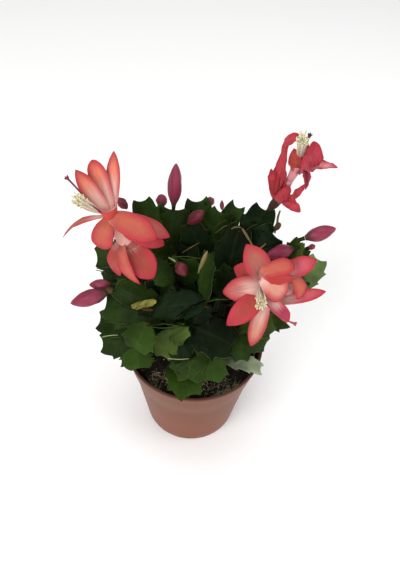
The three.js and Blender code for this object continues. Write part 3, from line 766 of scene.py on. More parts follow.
# %% [markdown]
# ## The tree that grows leaves on a skeleton
#
# Each plant piece starts as a skeleton: one loose point per leaf, which says which shape it
# takes, the way it lies and how it bends, and one line per stalk, which says how thick it is.
# The tree sets a shape on each point, bends it, and wraps a round skin about each line. The
# leaves could be placed one by one, but this way one rule serves every pad and petal.
#
# A leaf bends in four ways: it arches along its rib, folds up like a V on either side of it,
# waves along its edges and, where it is dry or wilted, crumples. The last two are sines with a
# phase of the leaf's own, so that no two leaves are alike.

# %% Bends of a leaf
VEE_POWER = 1.3
EDGE_POWER = 2.0
PHASE_SPREAD = 40.0
EDGE_WAVES = (11.0, 1.7)
CRUMPLE_WAVES = (23.0, 4.0)
CRUMPLE = 2.2


def named(tree, name, kind="FLOAT"):
    return node(tree, "GeometryNodeInputNamedAttribute", {"Name": name}, data_type=kind).outputs[0]


def leaf_lift(tree, x, y, z):
    """How far each point of a leaf rises above its flat plane, with all its bends."""
    out = math_node(tree, "ABSOLUTE", y)
    ripple = named(tree, "ripple")
    hump = product(tree, x, math_node(tree, "SUBTRACT", 1.0, x))
    phase = product(tree, named(tree, "draw"), PHASE_SPREAD)

    def sway(along, across):
        angle = total(tree, product(tree, x, along), phase, product(tree, y, across))
        return math_node(tree, "SINE", angle)

    return total(
        tree,
        product(tree, z, named(tree, "thick")),
        product(tree, hump, named(tree, "arch")),
        product(tree, math_node(tree, "POWER", out, VEE_POWER), named(tree, "vee")),
        product(tree, sway(*EDGE_WAVES), math_node(tree, "POWER", out, EDGE_POWER), ripple),
        product(tree, sway(*CRUMPLE_WAVES), hump, ripple, ripple, CRUMPLE / MM),
    )


print("bends of a leaf: arch, vee, waves, crumples")

# %% [markdown]
# The first helper places the leaves: a bent point lies at the leaf's start plus a share of its
# three directions. The second makes the stalks: smooth curves with a small circle swept along.

# %% Leaves and rods
ROD_STEPS = 5


def leaves_on_points(tree, points, shapes, kind):
    """The shape of its kind on each point, bent and turned as the point says."""
    choices = node(tree, "GeometryNodeCollectionInfo", {
        "Collection": shapes, "Separate Children": True, "Reset Children": True,
    }).outputs["Instances"]
    placed = node(tree, "GeometryNodeInstanceOnPoints", {
        "Points": points, "Instance": choices, "Pick Instance": True, "Instance Index": kind,
    }).outputs["Instances"]
    leaves = node(tree, "GeometryNodeRealizeInstances", {"Geometry": placed}).outputs[0]
    split = node(tree, "ShaderNodeSeparateXYZ", {0: named(tree, "local", "FLOAT_VECTOR")}).outputs
    x, y, z = split["X"], split["Y"], split["Z"]
    place = named(tree, "start", "FLOAT_VECTOR")
    for direction, amount in (("along_by", x), ("out_by", y), ("up_by", leaf_lift(tree, x, y, z))):
        step = scaled(tree, named(tree, direction, "FLOAT_VECTOR"), amount)
        place = node(tree, "ShaderNodeVectorMath", {0: place, 1: step}, operation="ADD").outputs[0]
    return node(tree, "GeometryNodeSetPosition", {"Geometry": leaves, "Position": place}).outputs[0]


def rods_on_lines(tree, lines, sides):
    """A round closed skin about each smoothed line, as thick as its points say."""
    curves = node(tree, "GeometryNodeMeshToCurve", {"Mesh": lines}).outputs[0]
    smooth = node(tree, "GeometryNodeCurveSplineType", {"Curve": curves}, spline_type="CATMULL_ROM")
    fine = node(tree, "GeometryNodeSetSplineResolution", {
        "Geometry": smooth.outputs[0], "Resolution": ROD_STEPS,
    }).outputs[0]
    ring = node(tree, "GeometryNodeCurvePrimitiveCircle", {"Resolution": sides, "Radius": 1.0})
    return node(tree, "GeometryNodeCurveToMesh", {
        "Curve": fine, "Profile Curve": ring.outputs["Curve"], "Scale": named(tree, "thick"),
        "Fill Caps": True,
    }).outputs[0]


print("steps between two points of a rod:", ROD_STEPS)

# %% [markdown]
# The tree itself parts the points with a leaf from the lines, dresses both, joins them, and
# ends by making the instances real and setting the material.

# %% Growing tree
NOT_A_LEAF = -1


def make_grow_tree():
    sockets = {
        "Geometry": "geometry", "Shapes": "collection", "Rod sides": "int", "Material": "material",
    }
    tree, given, result = open_group("Grow", "GeometryNodeTree", sockets, {"Geometry": "geometry"})
    kind = named(tree, "kind", "INT")
    is_leaf = node(
        tree, "FunctionNodeCompare", {2: kind, 3: NOT_A_LEAF}, data_type="INT",
        operation="GREATER_THAN",
    ).outputs[0]
    points, lines = node(tree, "GeometryNodeSeparateGeometry", {
        "Geometry": given["Geometry"], "Selection": is_leaf,
    }).outputs
    joined = node(tree, "GeometryNodeJoinGeometry")
    tree.links.new(rods_on_lines(tree, lines, given["Rod sides"]), joined.inputs[0])
    tree.links.new(leaves_on_points(tree, points, given["Shapes"], kind), joined.inputs[0])
    soft = node(tree, "GeometryNodeSetShadeSmooth", {"Geometry": joined.outputs[0]}).outputs[0]
    whole = node(tree, "GeometryNodeRealizeInstances", {"Geometry": soft}).outputs[0]
    coloured = node(tree, "GeometryNodeSetMaterial", {
        "Geometry": whole, "Material": given["Material"],
    }).outputs[0]
    tree.links.new(coloured, result["Geometry"])
    return tree


GROW = make_grow_tree()
print("tree nodes:", len(GROW.nodes))

# %% [markdown]
# ## Directions and colours
#
# A direction is written as two angles, as for a star: round the pot and up from the table. A
# colour is written as it looks on a screen, and is turned into the linear values of shaders.

# %% Directions and colours
def heading(azimuth, elevation):
    """A direction from its angle round the pot, anticlockwise from the right, and its rise."""
    a, e = math.radians(azimuth), math.radians(elevation)
    return Vector((math.cos(a) * math.cos(e), math.sin(a) * math.cos(e), math.sin(e)))


def square_to(direction, axis):
    """The direction with its part along the axis taken away."""
    return (direction - axis * direction.dot(axis)).normalized()


def ring_frame(axis):
    """Two directions square to an axis and to each other, to set things in a ring about it."""
    side = square_to(heading(0, 0), axis)
    return side, axis.cross(side)


def screen(red, green, blue):
    """A colour from its values on a screen, 0 to 255, as the shaders' linear values."""
    parts = [value / 255 for value in (red, green, blue)]
    linear = [p / 12.92 if p < 0.04045 else ((p + 0.055) / 1.055) ** 2.4 for p in parts]
    return (*linear, 1.0)


print("towards the viewer:", [round(part, 2) for part in heading(-90, 49)])

# %% [markdown]
# ## Skeletons
#
# A small class gathers the points and lines of one piece and their facts, all in millimetres,
# and turns them into a mesh for the tree. A leaf's frame is worked out as for the solid it
# replaces: an axis from root to tip, a normal towards the way that it faces, and a side.

# %% Skeleton class
NUMBER = ("FLOAT", 0)
DIRECTION = ("FLOAT_VECTOR", (0, 0, 0))
FACTS = {
    "kind": ("INT", NOT_A_LEAF), "start": DIRECTION, "along_by": DIRECTION, "out_by": DIRECTION,
    "up_by": DIRECTION, "thick": NUMBER, "arch": NUMBER, "vee": NUMBER, "ripple": NUMBER,
    "draw": NUMBER, "tint": ("FLOAT_COLOR", (1, 1, 1, 1)),
}
FIELD = {"INT": "value", "FLOAT": "value", "FLOAT_VECTOR": "vector", "FLOAT_COLOR": "color"}
MOUND_CENTRE = Vector((0, 5, 95))
SUNK = {"pad": 2.4, "woody": 2.4, "petal": 3.0, "blunt": 3.0}
ARCH_TOP = 0.25


class Skeleton:
    """The points, lines and facts of one piece, with random draws of its own."""

    def __init__(self, name, seed):
        self.name = name
        self.chance = random.Random(seed)
        self.places = []
        self.edges = []
        self.facts = {key: [] for key in FACTS}

    def point(self, place, **facts):
        self.places.append(Vector(place) * MM)
        for key, (_, default) in FACTS.items():
            self.facts[key].append(facts.get(key, default))

    def shape(self, kind, start, along, side, up, thick, tint, **bends):
        """One leaf in millimetres: its frame, its thickness as a share of its shape's, its bends."""
        facts = {key: value * MM for key, value in bends.items()}
        self.point(
            start, kind=KINDS[kind], start=Vector(start) * MM, along_by=Vector(along) * MM,
            out_by=Vector(side) * MM, up_by=up, thick=thick * MM, tint=tint,
            draw=self.chance.random(), **facts,
        )

    def leaf(self, kind, base, tip, width, face, bend, fold, tint, thick=1.0, ripple=0.0):
        """A pad or petal from its joint to its tip, and its axis, side and upper face."""
        base, tip = Vector(base), Vector(tip)
        axis = (tip - base).normalized()
        start = base - axis * SUNK[kind]
        length = (tip - start).length
        outward = heading(*face) if face else (start + tip) / 2 - MOUND_CENTRE
        up = square_to(outward, axis)
        side = axis.cross(up)
        self.shape(
            kind, start, axis * length, side * width / 2, up, thick, tint,
            arch=bend * length / ARCH_TOP, vee=fold * width / 2, ripple=ripple,
        )
        return axis, side, up

    def rod(self, places, thicks, tint):
        """A line of points with its radius at each, in millimetres."""
        first = len(self.places)
        for place, thick in zip(places, thicks):
            self.point(place, thick=thick * MM, tint=tint)
        self.edges += [(k, k + 1) for k in range(first, len(self.places) - 1)]

    def mesh(self):
        """All points and lines as one mesh, with every fact as an attribute."""
        mesh = bpy.data.meshes.new(self.name)
        mesh.from_pydata(self.places, self.edges, [])
        for key, (kind, _) in FACTS.items():
            layer = mesh.attributes.new(key, kind, "POINT")
            values = self.facts[key]
            if kind not in ("INT", "FLOAT"):
                values = [number for value in values for number in value]
            layer.data.foreach_set(FIELD[kind], values)
        return mesh


print("facts of a point:", ", ".join(FACTS))

# %% [markdown]
# A modifier's inputs are known by identifiers, not by the names that the tree shows, so each
# name is looked up first. The grown mesh is taken from the evaluated object, and of all the
# attributes only those that the materials read stay on it: tint, draw and leaf.

# %% From a skeleton to a piece
KEPT_FACTS = ("draw", "tint")


def set_inputs(modifier, values):
    for item in modifier.node_group.interface.items_tree:
        if item.item_type == "SOCKET" and item.in_out == "INPUT" and item.name in values:
            modifier[item.identifier] = values[item.name]


def grown(skeleton, material, rod_sides=8):
    """The piece that the tree grows from a skeleton, as a plain mesh object."""
    holder = place_mesh(skeleton.name, skeleton.mesh())
    grow = holder.modifiers.new("grow", "NODES")
    grow.node_group = GROW
    set_inputs(grow, {"Shapes": SHAPES, "Rod sides": rod_sides, "Material": material})
    mesh = finished_mesh(holder, skeleton.name)
    bpy.data.objects.remove(holder)
    for key in ("local", *FACTS):
        if key not in KEPT_FACTS and key in mesh.attributes:
            mesh.attributes.remove(mesh.attributes[key])
    return place_mesh(f"{skeleton.name}_grown", mesh)


print("attributes for the materials:", ", ".join(("leaf", *KEPT_FACTS)))

# %% [markdown]
# ## The green of the pads
#
# A pad is leathery and dark green, with a paler worn margin and rib, and a reddish flush where
# it joins the next. One half of a pad is painted lighter than the other, and its tip than its
# root, as painted light and shade for a pad that never lies quite flat. Each pad also has a
# green, kept as the attribute tint: old pads near the soil turn woody and tan, young ones are
# bright, and pads in light or in shade get a lighter or darker copy of one green, painted light
# and shade.

# %% Pad material
PAD_MARGIN = screen(104, 116, 64)
PAD_FLUSH = screen(72, 42, 26)
# Painted light and shade across and along a pad.
SIDE_LIGHT_TONE = 0.42
SIDE_LIGHT_DRAWS = 37.0
LENGTH_LIGHT_TONE = 0.3
MARGIN_PALE = 0.6
MARGIN_SHARE = 0.9
RIB_SHARE = 0.05
FLUSH_SHARE = 0.35
PAD_GRAIN = 0.12
PAD_SWELL = 0.0016


def attribute(tree, name, output):
    return node(tree, "ShaderNodeAttribute", attribute_name=name).outputs[output]


def leaf_facts(tree):
    """How far across the rib, how far along it, and 1 on a leaf or 0 on a stalk."""
    return node(tree, "ShaderNodeSeparateXYZ", {0: attribute(tree, "leaf", "Vector")}).outputs


def pad_skin():
    material, tree, shader = open_material("pad_skin", roughness=0.38, specular=0.04)
    across, along, is_leaf = leaf_facts(tree)
    out = math_node(tree, "ABSOLUTE", across)
    tint = attribute(tree, "tint", "Color")
    base, grain = mottled(tree, tint, scale=110, amount=0.6, grain_scale=1400)
    # Painted light and shade: one half of each pad lighter and the other darker, and the tip lighter
    # than the root.
    light_lean = math_node(tree, "SINE", product(tree, attribute(tree, "draw", "Fac"), SIDE_LIGHT_DRAWS))
    length = product(tree, math_node(tree, "SUBTRACT", along, 0.5), LENGTH_LIGHT_TONE)
    base = scaled(tree, base, total(tree, product(tree, across, light_lean, SIDE_LIGHT_TONE), length, 1.0))
    place = node(tree, "ShaderNodeTexCoord").outputs["Object"]
    worn = ramp(tree, clouds(tree, place, scale=70, detail=3), 0.4, 0.62)
    pale = mix_colour(tree, MARGIN_PALE, tint, PAD_MARGIN)
    rim = product(tree, ramp(tree, out, 0.94, 1.0), is_leaf, worn, MARGIN_SHARE)
    base = mix_colour(tree, rim, base, pale)
    rib = product(tree, ramp(tree, out, 0.12, 0.0), is_leaf, RIB_SHARE)
    base = mix_colour(tree, rib, base, pale)
    ends = math_node(tree, "MAXIMUM", ramp(tree, along, 0.14, 0.02), ramp(tree, along, 0.93, 1.0))
    joint = product(tree, ends, ramp(tree, out, 0.5, 0.1), FLUSH_SHARE, is_leaf)
    base = mix_colour(tree, joint, base, PAD_FLUSH)
    tree.links.new(base, shader.inputs["Base Color"])
    swell = clouds(tree, place, scale=130, detail=2)
    bump(tree, shader, total(tree, swell, product(tree, grain, PAD_GRAIN)), PAD_SWELL)
    return material


# Painted light and shade: lit, mid, dark, shade and deep are one green made lighter or darker for how
# the light falls on each pad, and pale is a painted grey sheen on a pad that faces up.
GREENS = {
    "deep": screen(9, 18, 5), "shade": screen(14, 28, 8), "dark": screen(20, 33, 12),
    "mid": screen(31, 47, 13), "lit": screen(38, 58, 15), "olive": screen(50, 64, 24),
    "fresh": screen(92, 114, 66), "pale": screen(146, 158, 128), "woody": screen(50, 42, 28),
    "dry": screen(124, 120, 58), "brown": screen(64, 40, 26),
    "beige": screen(118, 102, 70), "rust": screen(70, 40, 30), "cream": screen(142, 152, 98),
    "plum": screen(106, 50, 58), "edge": screen(62, 72, 38), "straw": screen(104, 92, 60),
    "bark": screen(78, 56, 40),
}
PAD_SKIN = pad_skin()
print("greens:", len(GREENS))

# %% [markdown]
# ## The stems
#
# Each stem is a chain of pads that starts at a root in the soil. A pad is written as the joint
# that it grows from, its tip, its width, the way that it faces, its bend, its fold and its
# green. Joint 0 is the root, joint n the tip of the n-th pad, and three numbers are a place on
# the side of a pad. Facing None means away from the plant's middle.

# %% Stem tables
VIEW = (-92, 48)
UPWARD = (90, 42)
WOODY_WIDTH = 15
SOIL_TOP = 84
ROOT_Z = SOIL_TOP + 4
STUB_FOOT = 72.3
STUB_R = 2.2
STEMS = {
    "stem_front_low": ((-8, -22), [
        (0, (-11, -31, 109), 14, None, 0.05, 0, "woody"),
        (1, (0, -57.5, 105.2), 27, (-80, 58), 0.1, 0.14, "lit"),
    ]),
    "stem_front_middle": ((6, -22), [
        (0, (8, -28, 112), 14, None, 0, 0, "woody"),
        (1, (9, -37, 131), 16, None, 0, 0, "dark"),
        (2, (11, -50.5, 115), 29, (-90, 35), 0.08, 0.3, "lit"),
        (2, (-12, -48, 119), 21, (-100, 60), 0.1, 0, "mid"),
    ]),
    "stem_front_tall": ((-2, -10), [
        (0, (-2, -16, 116), 14, None, 0, 0, "woody"),
        (1, (-2, -26, 143), 22, None, 0, 0, "dark"),
        (2, (26, -36, 138), 32, (-80, 60), 0.12, 0, "deep"),
        (2, (-17, -44, 133), 28, (-110, 50), 0.08, 0, "shade"),
        (2, (5, -18, 160), 20, None, 0, 0, "deep"),
        (5, (-13, -27, 152), 22, UPWARD, 0.05, 0, "deep"),
        (5, (23, -10, 155), 16, UPWARD, 0.05, 0, "mid"),
        (5, (-29, -17, 148), 22, (-95, 52), 0.06, 0, "shade"),
        (5, (6, 4, 184.5), 19, (-150, 20), 0, 0.1, "mid"),
        (2, (-32, -27, 143), 24, UPWARD, 0.05, 0, "mid"),
        (10, (-40, -34, 123), 26, (-100, 45), 0.06, 0, "lit"),
        (11, (-36, -41, 111), 26, (-100, 40), 0.05, 0.05, "lit"),
        ((-15, -32, 145), (-20, -44, 131), 18, (-100, 35), 0.05, 0.1, "olive"),
        ((-14, -31, 146), (-5, -39, 145.5), 15.5, (-90, 50), 0, 0.1, "olive"),
    ]),
    "stem_front_right": ((18, -18), [
        (0, (22, -27, 108), 14, None, 0, 0, "woody"),
        (1, (49, -33, 107), 20, (90, 75), 0.08, 0, "pale"),
        (1, (31, -23, 135), 16, None, 0, 0, "dark"),
        (3, (33, -37, 122), 17, (-80, 35), 0.05, 0, "mid"),
        (3, (51, -20, 119), 20, (-70, 40), 0.06, 0, "lit"),
        (3, (55, -8, 131), 20, (-40, 50), 0.06, 0, "olive"),
    ]),
    "stem_left": ((-14, -2), [
        (0, (-18, -8, 114), 16, None, 0, 0, "woody"),
        (1, (-22, -12, 139), 16, None, 0, 0, "dark"),
        (2, (-65, -2, 133), 36, (-100, 50), 0.08, 0, "mid"),
        (2, (-57, 0, 150), 22, None, 0.06, 0, "mid"),
        (2, (-18, -3, 158), 15, None, 0, 0, "dark"),
        (5, (-31, 0, 177), 17, (-70, 40), 0, 0, "mid"),
        (1, (-36, -18, 127), 16, None, 0, 0, "dark"),
        (7, (-69, -9, 121), 24, (-110, 60), 0.08, 0, "mid"),
        (1, (-34, -20, 116), 15, None, 0, 0, "dark"),
        (9, (-66, -22, 111), 24, (-110, 50), 0.1, 0, "mid"),
        ((-20, -2, 136), (-31, 2, 157), 20, VIEW, 0, 0, "deep"),
        ((-42, -14, 145.5), (-26.5, -18, 157.5), 5.2, VIEW, 0.04, 0, "dry"),
    ]),
    "stem_left_back": ((-16, 8), [
        (0, (-26, 11, 112), 16, None, 0, 0, "woody"),
        (1, (-41, 14, 138), 22, None, 0, 0, "dark"),
        (2, (-69, 14, 137), 24, (-110, 45), 0.06, 0, "mid"),
        (2, (-50, 22, 157), 22, None, 0, 0, "dark"),
        (4, (-73, 22, 153), 25, (-110, 40), 0.06, 0, "mid"),
        ((-45, 17, 146), (-71, 19, 145), 20, UPWARD, 0.05, 0, "lit"),
    ]),
    "stem_back_left": ((-8, 14), [
        (0, (-15, 19, 114), 15, None, 0, 0, "woody"),
        (1, (-23, 25, 146), 18, None, 0, 0, "dark"),
        (2, (-20, 46, 183), 38, VIEW, -0.03, 0, "mid"),
        (2, (-34, 33, 164), 22, VIEW, 0, 0, "mid"),
        (4, (-42, 46, 188.5), 22, VIEW, 0, 0, "mid"),
    ]),
    "stem_back": ((4, 17), [
        (0, (4, 22, 116), 15, None, 0, 0, "woody"),
        (1, (3, 30, 148), 17, None, 0, 0, "dark"),
        (2, (14, 46, 183), 25, VIEW, -0.03, 0, "mid"),
        (2, (-4, 54, 185), 27, VIEW, 0, 0, "mid"),
        (2, (-8, 38, 176), 23, VIEW, 0.05, 0, "shade"),
        (2, (25, 54, 182), 20, VIEW, 0, 0, "mid"),
    ]),
    "stem_back_right": ((12, 10), [
        (0, (20, 17, 118), 16, None, 0, 0, "woody"),
        (1, (31, 28, 156), 22, VIEW, 0, 0, "dark"),
        (2, (43, 45, 189), 27, VIEW, -0.03, 0, "shade"),
        (2, (51, 34, 176), 31, VIEW, 0, 0, "shade"),
    ]),
    "stem_right": ((20, 2), [
        (0, (35, 6, 110), 16, None, 0, 0, "woody"),
        (1, (53, 11, 128), 22, None, 0, 0, "dark"),
        (2, (72, 15, 142), 22, None, 0, 0, "mid"),
        (3, (82.5, 21, 167), 21, (-100, 30), 0, 0, "fresh"),
        (2, (59, 22, 154), 20, None, 0, 0, "dark"),
        (5, (69, 30, 174), 16, (-140, 20), 0, 0, "olive"),
        (5, (74, 30, 168), 18, (-60, 40), 0, 0, "olive"),
        ((50, 14, 150), (50, 22, 172), 18, VIEW, 0, 0, "dark"),
        (1, (65, -4, 128), 23, None, 0.08, 0, "olive"),
    ]),
    "stem_centre": ((8, 0), [
        (0, (12, 0, 118), 14, None, 0, 0, "woody"),
        (1, (16, 0, 146), 20, None, 0, 0, "dark"),
        (2, (21, 8, 168), 17, (-110, 40), 0, 0, "dark"),
        ((13, 2, 130), (8, 8, 158), 20, VIEW, 0, 0, "deep"),
        (2, (26.5, 33, 179.5), 28, VIEW, -0.05, 0.1, "deep"),
    ]),
    "stem_heart": ((-4, 4), [
        (0, (-6, 6, 118), 14, None, 0, 0, "woody"),
        (1, (-9, 8, 147), 20, VIEW, 0, 0, "dark"),
        (2, (-9, 9, 172), 24, (-90, 20), 0, 0, "mid"),
        (2, (-8, 24, 169), 22, (-70, 20), 0, 0, "deep"),
    ]),
}
print("stems in sight:", len(STEMS))

# %% [markdown]
# The far side of the plant isn't in the photograph. Its stems stand in an arc behind the
# others and share one plan, and a small seeded draw moves each of their joints a little.

# %% Far stems
FAR_AZIMUTHS = (36, 58, 84, 115, 141)
FAR_JITTER = 1.2
FAR_ROOT_R = 27
FAR_BEND = 0.08
FAR_FIRST_SEED = 40
DRAW_FACTOR = 1103515245
DRAW_STEP = 12345
DRAW_RANGE = 2 ** 31
FAR_JOINTS = (
    (0, 34, 109, 13, 0, "woody"), (1, 50, 124, 16, 0, "dark"), (2, 68.5, 108, 26, 0, "mid"),
    (2, 63, 144, 23, -6, "lit"), (2, 58, 158, 20, 8, "mid"),
)


def seeded(seed):
    """Draws from 0 to 1, by the rule that the solids use, so that the joints lie near theirs."""
    state = seed
    while True:
        state = (state * DRAW_FACTOR + DRAW_STEP) % DRAW_RANGE
        yield state / DRAW_RANGE


def far_stem(azimuth, draws):
    """The root and the pads of a stem that stands at an angle round the pot."""
    inward = (azimuth < 90) - (azimuth > 90)

    def place(reach, height, turn):
        out = heading(azimuth + turn * inward, 0) * reach
        return [value + (next(draws) - 0.5) * 2 * FAR_JITTER for value in (out.x, out.y, height)]

    root = heading(azimuth, 0) * FAR_ROOT_R
    pads = []
    for joint, reach, height, width, turn, green in FAR_JOINTS:
        pads.append((joint, place(reach, height, turn), width, None, FAR_BEND, 0, green))
    return (root.x, root.y), pads


for number, azimuth in enumerate(FAR_AZIMUTHS):
    STEMS[f"stem_far_{number + 1}"] = far_stem(azimuth, seeded(FAR_FIRST_SEED + number))
print("stems:", len(STEMS), "pads:", sum(len(pads) for _, pads in STEMS.values()))

# %% [markdown]
# ## Trimmings
#
# The plant also carries small odd things: dry pale edges, a dead stalk, woody red nodes and
# three buds that never opened. Each is a thin rod with its radius or a small body with its
# width, its colour and its places in millimetres, and grows with the stem that it belongs to.

# %% Trimming tables
TRIM_RODS = {
    "stem_heart": [
        ("edge", 0.3, (-20.5, 9, 171.4), (-8.8, 8, 174.4), (3, 8, 172.6)),
        ("cream", 0.8, (-20.5, 9, 171.2), (-15.3, 6, 171), (-13.4, 3.4, 170.2)),
        ("straw", 0.3, (-12.2, 18.5, 166.6), (-6.6, 22, 168.6), (-0.5, 27, 169.3)),
    ],
    "stem_back": [
        ("straw", 0.35, (10.2, 38.4, 168.1), (16.2, 40.1, 173.3), (24.5, 45.7, 173.9)),
        ("edge", 0.3, (8, 40.3, 171.2), (15, 41.6, 176.8), (23.3, 48.2, 177.1)),
    ],
    "stem_back_right": [
        ("edge", 0.3, (31, 37.5, 173.3), (34.6, 38.4, 176.3), (38.6, 39, 178.8)),
        ("edge", 0.3, (39.7, 37.6, 177.6), (44.6, 38.9, 179.9), (48.7, 39, 180.6)),
        ("beige", 0.7, (41.8, 28.4, 165.8), (43.9, 29, 167.4), (45.5, 29.6, 169.5)),
        ("straw", 0.8, (51.2, 35, 175), (51.9, 37, 181.8), (51.8, 38, 187.4), (52.4, 38, 193)),
    ],
    "stem_centre": [
        ("beige", 0.5, (20.9, 32, 179.4), (23.8, 32, 181.3), (27.4, 32, 181)),
        ("beige", 0.9, (27.9, 32, 180.3), (30.5, 30, 177.5), (33.6, 28, 173.6), (36.2, 25, 170.4)),
    ],
    "stem_front_tall": [
        ("rust", 0.7, (-31.6, -28.6, 144.4), (-30, -29.3, 143.7)),
        ("edge", 0.35, (-30.3, -29, 144.2), (-20.9, -31, 146.2), (-11, -32, 150.6)),
        ("cream", 0.3, (-16.4, -45.7, 132.8), (-8.9, -47, 134.7), (-2.9, -46.9, 136)),
        ("rust", 0.6, (5.7, -21.4, 159.7), (8, -21.3, 158.3)),
    ],
    "stem_front_middle": [
        ("rust", 0.8, (-11.1, -49.1, 121.9), (-8.7, -50.7, 121.7)),
    ],
    "stem_left": [
        ("edge", 0.35, (-56.3, -2.5, 147.9), (-53.5, 0, 154.2), (-48.2, 2, 155.6)),
        ("cream", 0.35, (-64.4, -23, 120.4), (-58.4, -24, 124.2), (-52.7, -24, 125.4)),
        ("edge", 0.3, (-63.2, -14, 126.6), (-50.5, -18, 130.9), (-37.1, -24, 138.2)),
    ],
    "stem_right": [("cream", 0.4, (74.6, 15, 158.8), (77.9, 16, 164.4), (81.3, 17, 170))],
    "stem_left_back": [("edge", 0.4, (-73, 17, 145.3), (-62.7, 16, 144.9), (-52.5, 16, 149))],
}
TRIM_BODIES = {
    "stem_back_left": [
        ("bud", 3.3, (-52.5, 45, 180.5), (-58.6, 45, 189.6), "plum"),
    ],
    "stem_back": [("bud", 1.5, (13.7, 46, 183.5), (13.2, 50, 189), "plum")],
    "stem_back_right": [("grain", 2.3, (51, 35.4, 177.5), (53.8, 36, 184.2), "bark")],
    "stem_left": [
        ("bud", 2.3, (-56.7, -3, 146.6), (-62.6, -3, 149.4), "bark"),
        ("woody", 1.3, (-36, -18.3, 149), (-28.5, -19.4, 149.6), "brown"),
    ],
    "stem_front_tall": [("petal", 1.7, (0.2, -1.6, 168.4), (5, 3, 186.2), "straw")],
}

# %% [markdown]
# ## Buds and blooms
#
# A bud or a bloom stands on a short green spur at the tip of a pad. A bud is written as its
# stem, its spur's base, its point, its radius and its tone. A bloom has an ovary, a tube with
# a bend, two tiers of petals, a long style and a brush of stamens. A petal is written as its
# shape, its root, its tip, its width, where it faces, its bend, its fold and its colour.

# %% Bud and bloom tables
SPUR_OUT = 1.5
SPUR_DEEP = 3
SPUR_R = 1.6
GAP = 0.3
BUDS = {
    "bud_1": ("stem_back_left", (-20, 46, 183), (-19, 52, 216.5), 4.8, "pink"),
    "bud_2": ("stem_back_left", (-28, 47, 181), (-30, 60, 182), 4, "pink"),
    "bud_3": ("stem_back", (-10, 36, 177), (1, 34.5, 192), 4.2, "wine"),
    "bud_4": ("stem_heart", (-15, 7, 171), (-8.2, -4, 168.3), 4.3, "wine"),
    "bud_5": ("stem_back", (3, 54, 182), (7, 64, 176.5), 3.2, "pink"),
    "bud_6": ("stem_right", (70, 30, 176), (91.9, 34, 184), 5, "pink"),
    "bud_7": ("stem_right", (65.5, 26, 170.5), (44.5, 14, 173), 5, "pink"),
    "bud_8": ("stem_left", (-60, -4, 147), (-87, -9, 138), 5.6, "pink"),
    "bud_9": ("stem_left", (-58, 3, 147.5), (-75.5, 3.5, 144.5), 3.8, "pink"),
    "bud_10": ("stem_right", (75, 30, 167), (79, 27, 173), 2, "pink"),
}
